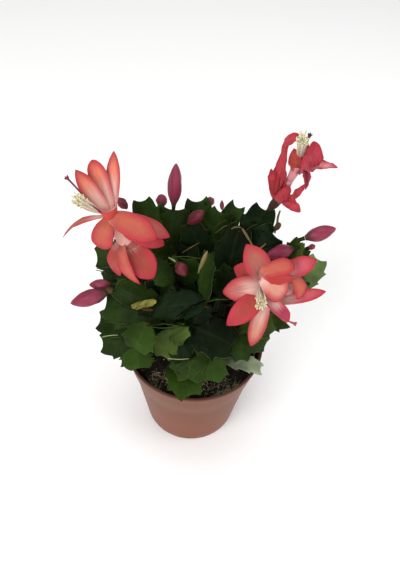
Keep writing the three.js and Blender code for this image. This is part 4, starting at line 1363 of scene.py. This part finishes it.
BLOOMS = {
    "bloom_left": {
        "stem": "stem_left", "base": (-31, 0, 178), "slot": "petal",
        "tube": [(-46, 3, 192, 6.2), (-54.5, 3, 204.5, 3.6), (-56.8, 4, 218, 5.8)],
        "petals": [
            ("petal", (-58, 3, 214), (-71.9, 0, 247), 10.8, VIEW, -0.03, 0.12, "blossom"),
            ("blunt", (-56, 4, 214), (-64, 10, 247), 11.8, VIEW, -0.03, 0.1, "blossom"),
            ("petal", (-55, 5.5, 215), (-52.2, 14, 251), 8.8, VIEW, -0.03, 0.12, "blossom"),
            ("petal", (-59, 5, 214), (-70, 4, 230), 6, (-120, 30), 0.05, 0.1, "blush"),
            ("petal", (-57.5, 3, 209), (-87, 2, 191), 5, (-170, 60), 0.16, 0.1, "blush"),
            ("blunt", (-57, 1, 207), (-61, -8, 193.5), 15.5, (-110, 30), 0.15, 0, "orange"),
            ("petal", (-52.8, 1, 211.5), (-26, -8.5, 205.5), 15.5, (-80, 55), 0.12, 0, "orange"),
            ("petal", (-51, 6, 207), (-19.5, 8, 191.5), 12, (-60, 60), 0.12, 0, "blush"),
            ("petal", (-51, 5, 202), (-23, 6, 186), 15, (-60, 50), 0.12, 0, "deep"),
            ("petal", (-45, 0, 190), (-28.5, -12, 173), 19, (-80, 40), 0.08, 0, "coral"),
            ("petal", (-47.5, 0, 191), (-37, -14, 169), 11, (-130, 20), 0.18, 0.2, "orange"),
            ("blunt", (-50, 2, 188), (-54, -3, 165), 14, (-130, 20), 0.12, 0.1, "coral"),
            ("petal", (-46, 8, 190), (-40, 22, 172), 15, (80, 30), 0.12, 0, "deep"),
            ("petal", (-51, 7, 205), (-43, 24, 189), 14, (80, 60), 0.12, 0, "deep"),
        ],
        "style": [(-59.5, 2, 213.5), (-63, -3, 223), (-75, -8.5, 248)],
        "stamens": (-71, -9, 234), "fork": (-60.5, 1, 214.5),
    },
    "bloom_front": {
        "stem": "stem_right", "base": (76, 13, 148), "slot": "petal",
        "tube": [(62, 2, 155, 4.4), (43, -8, 169, 7.2)],
        "petals": [
            ("petal", (43, -5, 173), (28.5, -3, 200), 17, VIEW, 0.08, 0.08, "blush"),
            ("petal", (42, -3, 169), (23, 0, 175.5), 15, VIEW, 0.08, 0, "deep"),
            ("petal", (43, -9, 169), (16.5, -14, 166), 17, VIEW, 0.1, 0.08, "pale"),
            ("petal", (43, -12, 166), (20.5, -31, 153.5), 15, VIEW, 0.1, 0.08, "deep"),
            ("petal", (45, -12, 164), (38.5, -31, 131.5), 11.5, VIEW, 0.08, 0.3, "cream"),
            ("petal", (46.9, -13, 160.5), (63.3, -17, 143), 9, (-60, 45), 0.12, 0.3, "magenta"),
            ("blunt", (42.5, -12.5, 179.5), (57.5, -12.5, 164.5), 17.5, VIEW, 0.03, 0.06, "lip"),
            ("blunt", (41, -9, 182), (61, -3, 184.5), 12, (-92, 70), 0.1, 0, "orange"),
            ("blunt", (41, -11.5, 180), (61.5, -5.5, 173.5), 11, (-90, 10), 0.12, 0, "scarlet"),
            ("petal", (58, 4, 170), (76.5, 6, 181), 13, (-80, 50), 0.12, 0, "rose"),
            ("blunt", (62, 2, 168), (70.5, -3, 152), 11, (-60, 50), 0.25, -0.1, "orange"),
            ("petal", (57.7, -5, 149.5), (88, 3, 153.6), 9, (-80, 60), 0.06, 0.2, "rose"),
            ("petal", (60, 5, 160), (64, 20, 166), 12, (90, 60), 0.12, 0, "deep"),
        ],
        "style": [(44.5, -18, 166.5), (49, -22, 160.5), (56.7, -25, 156), (65, -27, 154)],
        "stamens": (41, -27, 171.5),
    },
    "bloom_back": {
        "stem": "stem_back_right", "base": (45, 43, 188), "slot": "old_petal",
        "tube": [(50.5, 39, 203, 3), (54, 36, 220, 2.5), (57, 31, 238, 3.9)],
        "petals": [
            ("petal", (47.5, 40, 203), (41.5, 38, 227.5), 6.5, VIEW, -0.03, 0.3, "crimson"),
            ("blunt", (50, 37.5, 204), (48.5, 35, 231), 7, (-110, 40), 0.02, 0.3, "brown"),
            ("blunt", (50, 39, 206), (47.6, 31, 255.4), 6.8, (-130, 40), 0.03, 0.3, "crimson"),
            ("blunt", (47.8, 31.5, 252), (52.8, 29, 259.8), 5.8, (-110, 40), 0.12, 0.2, "crimson"),
            ("petal", (49.5, 34.5, 206), (54.5, 31.5, 219.5), 7.5, VIEW, 0, 0.2, "crimson"),
            ("petal", (56, 30.5, 236), (51.5, 27.5, 251), 9, (-110, 40), 0.12, 0.3, "brick"),
            ("blunt", (58.5, 29.5, 234), (61, 24, 259), 12.5, (-68, 40), 0.15, 0.35, "wilted"),
            ("petal", (60, 29, 237), (76.7, 17, 247), 7.5, (-60, 60), 0.06, 0.25, "shell"),
            ("petal", (59, 29.5, 237), (62.5, 23, 224.5), 5, (-60, 20), 0.15, 0.4, "plum"),
            ("petal", (51.5, 38, 204), (63.1, 30, 223.4), 8, (-60, 30), 0.1, 0.3, "crimson"),
            ("petal", (52, 38.5, 203.5), (65, 33, 197.5), 7.8, (-70, 40), 0.12, 0.2, "crimson"),
            ("petal", (51, 40, 205), (48, 50, 226), 9, (100, 10), 0.1, 0.2, "crimson"),
            ("petal", (57.5, 33, 235), (61.5, 40, 246.5), 9, (90, 10), 0.1, 0.25, "crimson"),
        ],
        "style": [(57.5, 21, 265)],
        "stamens": (54.3, 21, 263.5),
    },
}

# %% [markdown]
# ## Grow the stems
#
# Every stem becomes one skeleton: its pads, the stalk in the soil, the spurs of its buds and
# blooms, and the fine bristles that sit in the notch at the tip of each pad.

# %% Bristles, spurs and trimmings
BRISTLES = 4
BRISTLE_LONG = 2.4
BRISTLE_SUNK = 2.8
BRISTLE_R = 0.09
BRISTLE_FAN = 0.7
BRISTLE_TILT = 0.4
BRISTLE_ROW = 1.2
BRISTLE_LENGTHS = (0.6, 1.2)
BRISTLE_TINT = screen(128, 114, 78)
SPUR_WAIST = 0.85
ROD_END = 0.7


def add_bristles(skeleton, tip, axis, side, up):
    for _ in range(BRISTLES):
        draw = skeleton.chance.uniform
        fan = side * draw(-BRISTLE_FAN, BRISTLE_FAN)
        way = (axis + fan + up * draw(-BRISTLE_TILT, BRISTLE_TILT)).normalized()
        start = Vector(tip) - axis * BRISTLE_SUNK + side * draw(-BRISTLE_ROW, BRISTLE_ROW)
        across = square_to(side, way)
        long = BRISTLE_LONG * draw(*BRISTLE_LENGTHS)
        skeleton.shape("bristle", start, way * long, across * BRISTLE_R, way.cross(across),
                       BRISTLE_R, BRISTLE_TINT)


def add_spur(skeleton, base, point):
    axis = (Vector(point) - Vector(base)).normalized()
    places = [Vector(base) + axis * reach for reach in (-SPUR_DEEP, -1, SPUR_OUT)]
    skeleton.rod(places, (SPUR_R, SPUR_R * SPUR_WAIST, SPUR_R), GREENS["mid"])


def add_trimmings(skeleton, name):
    for green, radius, *places in TRIM_RODS.get(name, []):
        radii = [radius * ROD_END] + [radius] * (len(places) - 2) + [radius * ROD_END]
        skeleton.rod([Vector(place) for place in places], radii, GREENS[green])
    for kind, radius, base, tip, green in TRIM_BODIES.get(name, []):
        base, tip = Vector(base), Vector(tip)
        side, up = ring_frame((tip - base).normalized())
        skeleton.shape(kind, base, tip - base, side * radius, up, radius, GREENS[green])


print("trimmings:", sum(map(len, (*TRIM_RODS.values(), *TRIM_BODIES.values()))))

# %% [markdown]
# A pad starts at an earlier joint of its stem, or at a place on the side of a pad. Its green
# swings a little at random. Old narrow pads are thick and woody and bear no bristles, and the
# edges of a dry one are crumpled.

# %% Make the stems
PAD_RIPPLE = 0.55
DRY_RIPPLE = 4
WOODY_THICK = 1.7
GREEN_SWING = (0.85, 1.15)
STUB_TAPER = (1, 1, 0.95, 0.7)


def make_stem(name, root, pads, seed):
    skeleton = Skeleton(name, seed)
    joints = [Vector((*root, ROOT_Z))]
    stub = [Vector((*root, z)) for z in (STUB_FOOT, SOIL_TOP, ROOT_Z, ROOT_Z + STUB_R)]
    skeleton.rod(stub, [STUB_R * share for share in STUB_TAPER], GREENS["woody"])
    for origin, tip, width, face, bend, fold, green in pads:
        base = joints[origin] if isinstance(origin, int) else Vector(origin)
        joints.append(Vector(tip))
        kind = "pad" if width > WOODY_WIDTH else "woody"
        thick = 1.0 if kind == "pad" else WOODY_THICK
        shade = skeleton.chance.uniform(*GREEN_SWING)
        tint = [value * shade for value in GREENS[green][:3]] + [1.0]
        ripple = PAD_RIPPLE * (DRY_RIPPLE if green == "dry" else 1)
        directions = skeleton.leaf(
            kind, base, tip, width, face, bend, fold, tint, thick=thick, ripple=ripple
        )
        if kind == "pad":
            add_bristles(skeleton, tip, *directions)
    add_trimmings(skeleton, name)
    for stem, base, point, *_ in BUDS.values():
        if stem == name:
            add_spur(skeleton, base, point)
    for bloom in BLOOMS.values():
        if bloom["stem"] == name:
            add_spur(skeleton, bloom["base"], bloom["tube"][0][:3])
    return dressed(grown(skeleton, PAD_SKIN), "pad", name)


for seed, (name, (root, pads)) in enumerate(STEMS.items()):
    stem = make_stem(name, root, pads, seed)
print("faces of the last stem:", len(stem.data.polygons))

# %% [markdown]
# ## Grow the buds
#
# A closed bud is a stack of rolled petals, so it has slanting folds and a fine point. It is
# magenta, greener at its foot, and some buds are painted darker, a painted shade for where they
# sit in shadow.

# %% Buds
def bud_skin():
    material, tree, shader = open_material("bud_skin", roughness=0.38, specular=0.22)
    _, along, _ = leaf_facts(tree)
    tint = attribute(tree, "tint", "Color")
    base, grain = mottled(tree, tint, scale=160, amount=0.25, grain_scale=1500)
    base = mix_colour(tree, ramp(tree, along, 0.3, 0.02), base, BUD_FOOT)
    tree.links.new(base, shader.inputs["Base Color"])
    bump(tree, shader, grain, distance=0.0001)
    return material


# Painted shade: the darker of the two tones is the bud pink made darker, for buds that sit in shadow.
BUD_TONES = {"pink": screen(124, 41, 64), "wine": screen(88, 25, 36)}
BUD_FOOT = screen(70, 46, 36)
BUD_SKIN = bud_skin()


def make_bud(name, base, point, radius, tone):
    skeleton = Skeleton(name, name)
    base, point = Vector(base), Vector(point)
    axis = (point - base).normalized()
    foot = base + axis * (SPUR_OUT + GAP)
    side, up = ring_frame(axis)
    skeleton.shape("bud", foot, point - foot, side * radius, up, radius, BUD_TONES[tone])
    return dressed(grown(skeleton, BUD_SKIN), "bud", name)


for name, (_, *facts) in BUDS.items():
    make_bud(name, *facts)
print("buds:", len(BUDS))

# %% [markdown]
# ## Grow the blooms
#
# A petal is coral red at its margin and tip, and paler towards its root. The faces that look
# into the flower are whitish pink along the middle, the others are orange, so each petal
# carries its own middle colour as its tint, and in the tint's alpha how far the pale root
# reaches. Streaks run along a petal and make the borders between its colours waver. The
# wilted bloom at the back is crimson. Light passes through petals, so their shader scatters
# a little light below the surface.

# %% Petal materials
STREAK_STRETCH = (9.0, 1.2, 0.0)
STREAK_WAVER = 0.4
ROOT_WAVER = 0.9
ROOT_SHARE = 0.9
MARGIN_DEEP = 0.9
PETAL_GLOW = 0.2
GLOW_RADII = (1.0, 0.35, 0.25)
GLOW_SCALE = 0.0010


def petal_skin(name, root, margin, tip, vein_tone):
    material, tree, shader = open_material(name, roughness=0.5, specular=0.08)
    across, along, is_leaf = leaf_facts(tree)
    out = math_node(tree, "ABSOLUTE", across)
    tint = attribute(tree, "tint", "Color")
    base, grain = mottled(tree, tint, scale=150, amount=0.22, grain_scale=1200)
    stretch = {0: attribute(tree, "leaf", "Vector"), 1: STREAK_STRETCH}
    streak_place = node(tree, "ShaderNodeVectorMath", stretch, operation="MULTIPLY").outputs[0]
    streak = clouds(tree, streak_place, scale=1.0, detail=2)
    waver = math_node(tree, "MULTIPLY_ADD", streak, STREAK_WAVER, -STREAK_WAVER / 2)
    far = math_node(tree, "SUBTRACT", attribute(tree, "tint", "Alpha"), along)
    far = total(tree, far, product(tree, waver, ROOT_WAVER))
    pale = product(tree, ramp(tree, far, 0.0, 0.3), is_leaf, ROOT_SHARE)
    base = mix_colour(tree, pale, base, root)
    edge = ramp(tree, total(tree, out, waver), 0.22, 0.95)
    edge = product(tree, edge, ramp(tree, along, 0.0, 0.4), MARGIN_DEEP)
    base = mix_colour(tree, edge, base, margin)
    end = product(tree, ramp(tree, total(tree, along, waver), 0.6, 1.02), is_leaf)
    base = mix_colour(tree, end, base, tip)
    vein = math_node(tree, "MULTIPLY_ADD", streak, vein_tone, 1 - vein_tone / 2)
    tree.links.new(scaled(tree, base, vein), shader.inputs["Base Color"])
    shader.inputs["Subsurface Weight"].default_value = PETAL_GLOW
    shader.inputs["Subsurface Radius"].default_value = GLOW_RADII
    shader.inputs["Subsurface Scale"].default_value = GLOW_SCALE
    bump(tree, shader, grain, distance=0.0001)
    return material


PETAL_SKINS = {
    "petal": petal_skin("petal_coral", screen(210, 168, 158), screen(170, 52, 62),
                        screen(160, 40, 54), 0.35),
    "old_petal": petal_skin("petal_crimson", screen(206, 140, 144), screen(160, 46, 60),
                            screen(146, 34, 50), 1.3),
}
print("petal materials:", ", ".join(skin.name for skin in PETAL_SKINS.values()))

# %% [markdown]
# Each petal's middle has one of these colours. The pale root reaches further in some colours
# than in others. The ovary, the tube and the cup of a bloom have colours of their own, and all
# threads share one plain material.

# %% Petal colours
PETAL_TINTS = {
    "blossom": screen(210, 124, 100), "pale": screen(176, 106, 98), "orange": screen(176, 90, 74),
    "deep": screen(158, 64, 60), "crimson": screen(170, 62, 68), "blush": screen(158, 92, 82),
    "brown": screen(112, 46, 40), "coral": screen(154, 68, 60), "magenta": screen(160, 58, 82),
    "rose": screen(182, 84, 94), "cream": screen(182, 128, 108), "scarlet": screen(168, 52, 52),
    "plum": screen(104, 36, 48), "lip": screen(204, 140, 122), "brick": screen(160, 72, 60),
    "shell": screen(204, 134, 136), "wilted": screen(164, 62, 76),
}
ROOT_REACH = {
    "blossom": 0.64, "pale": 0.62, "cream": 0.6, "magenta": 0.5, "shell": 0.5, "rose": 0.45,
    "blush": 0.4, "lip": 0.35, "coral": 0.3, "wilted": 0.3,
}
PLAIN_REACH = 0.16
OVARY_TINT = {"petal": screen(150, 84, 76), "old_petal": screen(62, 46, 36)}
TUBE_TINT = {"petal": screen(204, 150, 142), "old_petal": screen(198, 134, 138)}
CUP_TINT = {
    "bloom_left": screen(176, 68, 62), "bloom_front": screen(206, 138, 118),
    "bloom_back": screen(200, 132, 138),
}


def thread_skin(name, roughness, specular):
    material, tree, shader = open_material(name, roughness, specular)
    tint = attribute(tree, "tint", "Color")
    base, grain = mottled(tree, tint, scale=300, amount=0.12, grain_scale=1500)
    tree.links.new(base, shader.inputs["Base Color"])
    bump(tree, shader, grain, distance=0.00008)
    return material


THREAD_SKIN = thread_skin("thread_skin", roughness=0.5, specular=0.3)
print("petal colours:", ", ".join(PETAL_TINTS))

# %% [markdown]
# The ovary, the tube, the cup of the throat and the petals are one piece, because they are
# one body on the plant. The rods overlap a little, so that no gap shows where they meet.

# %% Ovary, tube and petals
OVARY_R = 2.6
OVARY_AT = 0.45
OVARY_END = 0.9
OVARY_SWELL = 1.2
OVARY_OVERLAP = 1.06
TUBE_INSET = 0.9
CUP_FOOT = 0.3
CUP_OVERLAP = 1.05
TUBE_SIDES = 20
PETAL_RIPPLE = 0.5
PETAL_SWING = (0.92, 1.06)
OLD_CRUMPLE = 3.4
OLD_CRUMPLE_WIDTH = 9


def make_petals(name, bloom, foot, tube):
    skeleton = Skeleton(name, name)
    kind = bloom["slot"]
    (bend_place, bend_r), *_ = tube
    (throat, throat_r), (mouth, mouth_r) = tube[-2:]
    ovary = foot.lerp(bend_place, OVARY_AT)
    ovary_places = [foot, ovary, ovary.lerp(bend_place, OVARY_END)]
    ovary_radii = (SPUR_R, OVARY_R * OVARY_SWELL, bend_r * OVARY_OVERLAP)
    skeleton.rod(ovary_places, ovary_radii, OVARY_TINT[kind])
    neck = throat.lerp(mouth, CUP_FOOT)
    places, radii = zip(*tube[:-1])
    tube_radii = (OVARY_R * TUBE_INSET, *radii, throat_r * CUP_OVERLAP)
    skeleton.rod([ovary, *places, neck], tube_radii, TUBE_TINT[kind])
    side, up = ring_frame((mouth - throat).normalized())
    skeleton.shape("cup", throat, mouth - throat, side * mouth_r, up, mouth_r, CUP_TINT[name])
    for shape, root, tip, width, face, bend, fold, middle in bloom["petals"]:
        shade = skeleton.chance.uniform(*PETAL_SWING)
        reach = ROOT_REACH.get(middle, PLAIN_REACH)
        tint = [value * shade for value in PETAL_TINTS[middle][:3]] + [reach]
        ripple = PETAL_RIPPLE
        if kind == "old_petal":
            ripple *= OLD_CRUMPLE * min(1, width / OLD_CRUMPLE_WIDTH)
        skeleton.leaf(shape, root, tip, width, face, bend, fold, tint, ripple=ripple)
    return dressed(grown(skeleton, PETAL_SKINS[kind], TUBE_SIDES), kind, name)


print("petals:", sum(len(bloom["petals"]) for bloom in BLOOMS.values()))

# %% [markdown]
# The style is a long red thread that ends in a small star of sticky lobes.

# %% Style
STYLE_R = 0.6
STYLE_TIP = 1.7
STYLE_SIDES = 10
STYLE_TINT = {
    "bloom_left": screen(116, 38, 62), "bloom_front": screen(150, 50, 72),
    "bloom_back": screen(70, 34, 46),
}
STIGMA_LOBES = 5
STIGMA_LONG = 3.6
LOBE_LONG = 1.9
LOBE_R = 0.5
LOBE_FLARE = 0.6
LOBE_OUT = 0.42
LOBE_SUNK = 0.8


def make_style(name, path, tint):
    skeleton = Skeleton(f"{name}_style", name)
    axis = (path[-1] - path[-2]).normalized()
    neck = path[-1] - axis * STIGMA_LONG
    thicks = [STYLE_R] * len(path) + [STYLE_R * STYLE_TIP]
    skeleton.rod([*path[:-1], neck, path[-1]], thicks, tint)
    side, up = ring_frame(axis)
    for lobe in range(STIGMA_LOBES):
        turn = lobe * 2 * math.pi / STIGMA_LOBES
        out = side * math.cos(turn) + up * math.sin(turn)
        way = (axis + out * LOBE_FLARE).normalized()
        across = square_to(out.cross(axis), way)
        root = path[-1] + out * LOBE_OUT - axis * LOBE_SUNK
        skeleton.shape("grain", root, way * LOBE_LONG, across * LOBE_R, way.cross(across),
                       LOBE_R, tint)
    return dressed(grown(skeleton, THREAD_SKIN, STYLE_SIDES), "style", f"{name}_style")


print("lobes of a style:", STIGMA_LOBES)

# %% [markdown]
# The stamens fan out of a short stalk. Each is a pale thread that bends a little outwards,
# with a yellowish anther at its end.

# %% Stamens
BRUSH_R = 0.6
FILAMENTS = 64
FILAMENT_R = 0.12
FILAMENT_SPREAD = 3.5
FILAMENT_BOW = 0.8
FILAMENT_SIDES = 5
FILAMENT_TINT = screen(222, 208, 186)
ANTHER_LONG = 1.9
ANTHER_R = 0.5
ANTHER_REACH = (-6, 1)
ANTHER_LEAN = 0.4
ANTHER_SUNK = 0.4
ANTHER_TINT = screen(208, 202, 164)


def make_stamens(name, path, middle):
    """A bundle of filaments from the end of the path, with anthers round the middle."""
    skeleton = Skeleton(f"{name}_stamens", name)
    fork = path[-1]
    skeleton.rod(path, (BRUSH_R, BRUSH_R), FILAMENT_TINT)
    spread = (middle - fork).normalized()
    across, up = ring_frame(spread)
    for _ in range(FILAMENTS):
        turn = skeleton.chance.uniform(0, 2 * math.pi)
        reach = FILAMENT_SPREAD * math.sqrt(skeleton.chance.random())
        out = across * math.cos(turn) + up * math.sin(turn)
        end = middle + out * reach + spread * skeleton.chance.uniform(*ANTHER_REACH)
        bend = fork.lerp(end, 0.5) + out * FILAMENT_BOW
        skeleton.rod([fork - spread, bend, end], [FILAMENT_R] * 3, FILAMENT_TINT)
        way = (end - bend).normalized().lerp(out, ANTHER_LEAN).normalized()
        aside = square_to(up, way)
        skeleton.shape("grain", end - way * ANTHER_SUNK, way * ANTHER_LONG, aside * ANTHER_R,
                       way.cross(aside), ANTHER_R, ANTHER_TINT)
    return dressed(grown(skeleton, THREAD_SKIN, FILAMENT_SIDES), "stamen", f"{name}_stamens")


print("filaments of a bloom:", FILAMENTS)

# %% [markdown]
# The parts of a bloom follow the same path as their solids: the style and the stamens' stalk
# stand on the floor of the throat and run out of its mouth.

# %% Put the blooms together
THROAT_FROM = 0.55
TUBE_WALL = 1
STYLE_OUT = 0.6
STYLE_FROM = 0.3
BRUSH_OUT = -0.5
FORK_AT = 1.1


def make_bloom(name, bloom):
    base = Vector(bloom["base"])
    tube = [(Vector(place), radius) for *place, radius in bloom["tube"]]
    (throat, throat_r), (mouth, mouth_r) = tube[-2:]
    foot = base + (tube[0][0] - base).normalized() * (SPUR_OUT + GAP)
    axis = (mouth - throat).normalized()
    floor = throat.lerp(mouth, THROAT_FROM)
    floor_r = throat_r + (mouth_r - throat_r) * THROAT_FROM - TUBE_WALL
    seat = floor + axis * GAP
    aside = square_to(heading(0, 0), axis)

    def at(share, offset):
        return seat.lerp(mouth, share) + aside * offset * (floor_r - 1)

    make_petals(name, bloom, foot, tube)
    style = [at(0, STYLE_OUT), at(STYLE_FROM, STYLE_OUT), *map(Vector, bloom["style"])]
    make_style(name, style, STYLE_TINT[name])
    fork = Vector(bloom["fork"]) if "fork" in bloom else at(FORK_AT, BRUSH_OUT)
    brush = [at(0, BRUSH_OUT), fork]
    make_stamens(name, brush, Vector(bloom["stamens"]))


for name, bloom in BLOOMS.items():
    make_bloom(name, bloom)
print("blooms:", len(BLOOMS))

# %% [markdown]
# ## The soil
#
# The soil is dark peat that fills the pot to just under the rim. Its body is turned from a
# profile like the pot, and its top is then raised and lowered by slow waves and a finer noise.

# %% Soil
SOIL_BUMP = 1.3
SOIL_SIDES = 150
SOIL_RING = 1.1
SOIL_EASE = 0.3
SOIL_WAVES = (0.23, 0.19, 0.11)
SOIL_NOISE = ((0.42, 1.1, 3), (1.3, 0.6, 8))
SOIL_TINT = screen(32, 26, 23)


def soil_height(x, y):
    """The height of the soil's top at a place: slow waves, and a coarse and a fine noise."""
    along, across, skew = SOIL_WAVES
    wide = SOIL_BUMP * math.sin(along * x + 1) * math.cos(across * y + skew * x)
    fine = sum(noise.noise(Vector((x, y, z)) * scale) * rise for scale, rise, z in SOIL_NOISE)
    return SOIL_TOP + wide + fine


def soil_skin():
    material, tree, shader = open_material("peat", roughness=0.95, specular=0.15)
    base, grain = mottled(tree, SOIL_TINT, scale=260, amount=0.5, grain_scale=1500)
    tree.links.new(base, shader.inputs["Base Color"])
    bump(tree, shader, grain, distance=0.0006)
    return material


def soil_r(z):
    """The soil's radius at a height, just clear of the pot's wall."""
    return outer_r(z) - POT_WALL - GAP


def make_soil():
    foot = floor_top + GAP
    edge_z = SOIL_TOP - 2 * SOIL_BUMP
    edge_r = soil_r(edge_z)
    step_r = soil_r(collar_foot - 0.01)
    first_r = edge_r - SOIL_EASE
    rings = [first_r - k * SOIL_RING for k in range(int(first_r / SOIL_RING) + 1)]
    profile = [
        (0, foot), (soil_r(foot) - 1 - SOIL_EASE, foot),
        (step_r - SOIL_EASE, collar_foot - COLLAR_STEP), (step_r + 1, collar_foot + 1),
        (edge_r, edge_z), *[(r, SOIL_TOP) for r in rings if r > 0.2], (0, SOIL_TOP),
    ]
    mesh = turned_mesh("soil_turned", profile, SOIL_SIDES)
    for vertex in mesh.vertices:
        if vertex.co.z > (SOIL_TOP - 0.01) * MM:
            vertex.co.z = soil_height(vertex.co.x / MM, vertex.co.y / MM) * MM
    for face in mesh.polygons:
        face.use_smooth = True
    mesh.materials.append(soil_skin())
    return place_mesh("soil_turned", mesh)


soil = dressed(make_soil(), "soil", "soil")
print("soil faces:", len(soil.data.polygons))

# %% [markdown]
# Loose crumbs, perlite and straw lie on the soil. Peat could be only a bump map, but crumbs
# that stand up catch the light as real peat does. A row says what the bits are, their colour
# and number, the middle and spread of their patch, their lengths and how wide they are.

# %% Bits on the soil
BITS_R = soil_r(SOIL_TOP) - 2.5
BITS_TILT = (-12, 30)
BITS_LIFT = 0.3
STRAW_ARCH = (-0.5, 0.9)
BITS_SKIN = thread_skin("soil_bits_skin", roughness=0.9, specular=0.1)
SOIL_BITS = [
    ("crumb", screen(30, 24, 20), 800, (0, 0), BITS_R, (1, 2.6), 0.42),
    ("crumb", screen(46, 38, 30), 300, (0, 0), BITS_R, (0.8, 2), 0.4),
    ("crumb", screen(150, 142, 122), 90, (0, 0), BITS_R, (0.7, 1.5), 0.45),
    ("bristle", screen(118, 104, 72), 90, (0, 0), BITS_R, (3, 7), 0.03),
    ("bristle", screen(166, 160, 132), 200, (22, -38), 15, (3, 8), 0.03),
    ("bristle", screen(158, 150, 120), 90, (-24, -33), 9, (3, 8), 0.03),
    ("petal", screen(104, 94, 64), 12, (-22, -33), 8, (5, 9), 0.09),
    ("petal", screen(96, 86, 60), 12, (24, -36), 14, (4, 7), 0.08),
]


def soil_spot(skeleton, middle, spread):
    """A random place on the soil round a middle, drawn in if it lies past the pot's wall."""
    turn = skeleton.chance.uniform(0, 2 * math.pi)
    reach = spread * math.sqrt(skeleton.chance.random())
    x = middle[0] + reach * math.cos(turn)
    y = middle[1] + reach * math.sin(turn)
    inside = min(1, BITS_R / max(math.hypot(x, y), 1))
    return Vector((x * inside, y * inside, soil_height(x * inside, y * inside)))


def add_bits(skeleton, kind, tint, count, middle, spread, long, wide):
    """Small bodies that lie on the soil, turned at random and partly sunk in it."""
    draw = skeleton.chance.uniform
    for _ in range(count):
        size = draw(*long)
        way = heading(draw(0, 360), draw(*BITS_TILT))
        across = square_to(heading(0, 90), way).cross(way)
        half = size * wide
        start = soil_spot(skeleton, middle, spread) - way * size / 2
        start.z += half * BITS_LIFT
        arch = size * draw(*STRAW_ARCH) if kind == "bristle" else 0
        skeleton.shape(kind, start, way * size, across * half, way.cross(across), half, tint,
                       arch=arch)


def make_soil_bits():
    skeleton = Skeleton("soil_bits", "soil_bits")
    for row in SOIL_BITS:
        add_bits(skeleton, *row)
    return dressed(grown(skeleton, BITS_SKIN), "soil")


bits = make_soil_bits()
print("faces of the soil's bits:", len(bits.data.polygons))

# %% [markdown]
# ## Finish
#
# The leaf shapes were only patterns, so they leave the scene. The box round the finished
# pieces and the solids' box are printed.

# %% Finish
for shape in list(SHAPES.objects):
    bpy.data.objects.remove(shape)
bpy.data.collections.remove(SHAPES)
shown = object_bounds()
for label, (low, high) in (("solids", SOLID_BOX), ("shown", shown)):
    print(label, [round(value / MM, 1) for value in (*low, *high)])
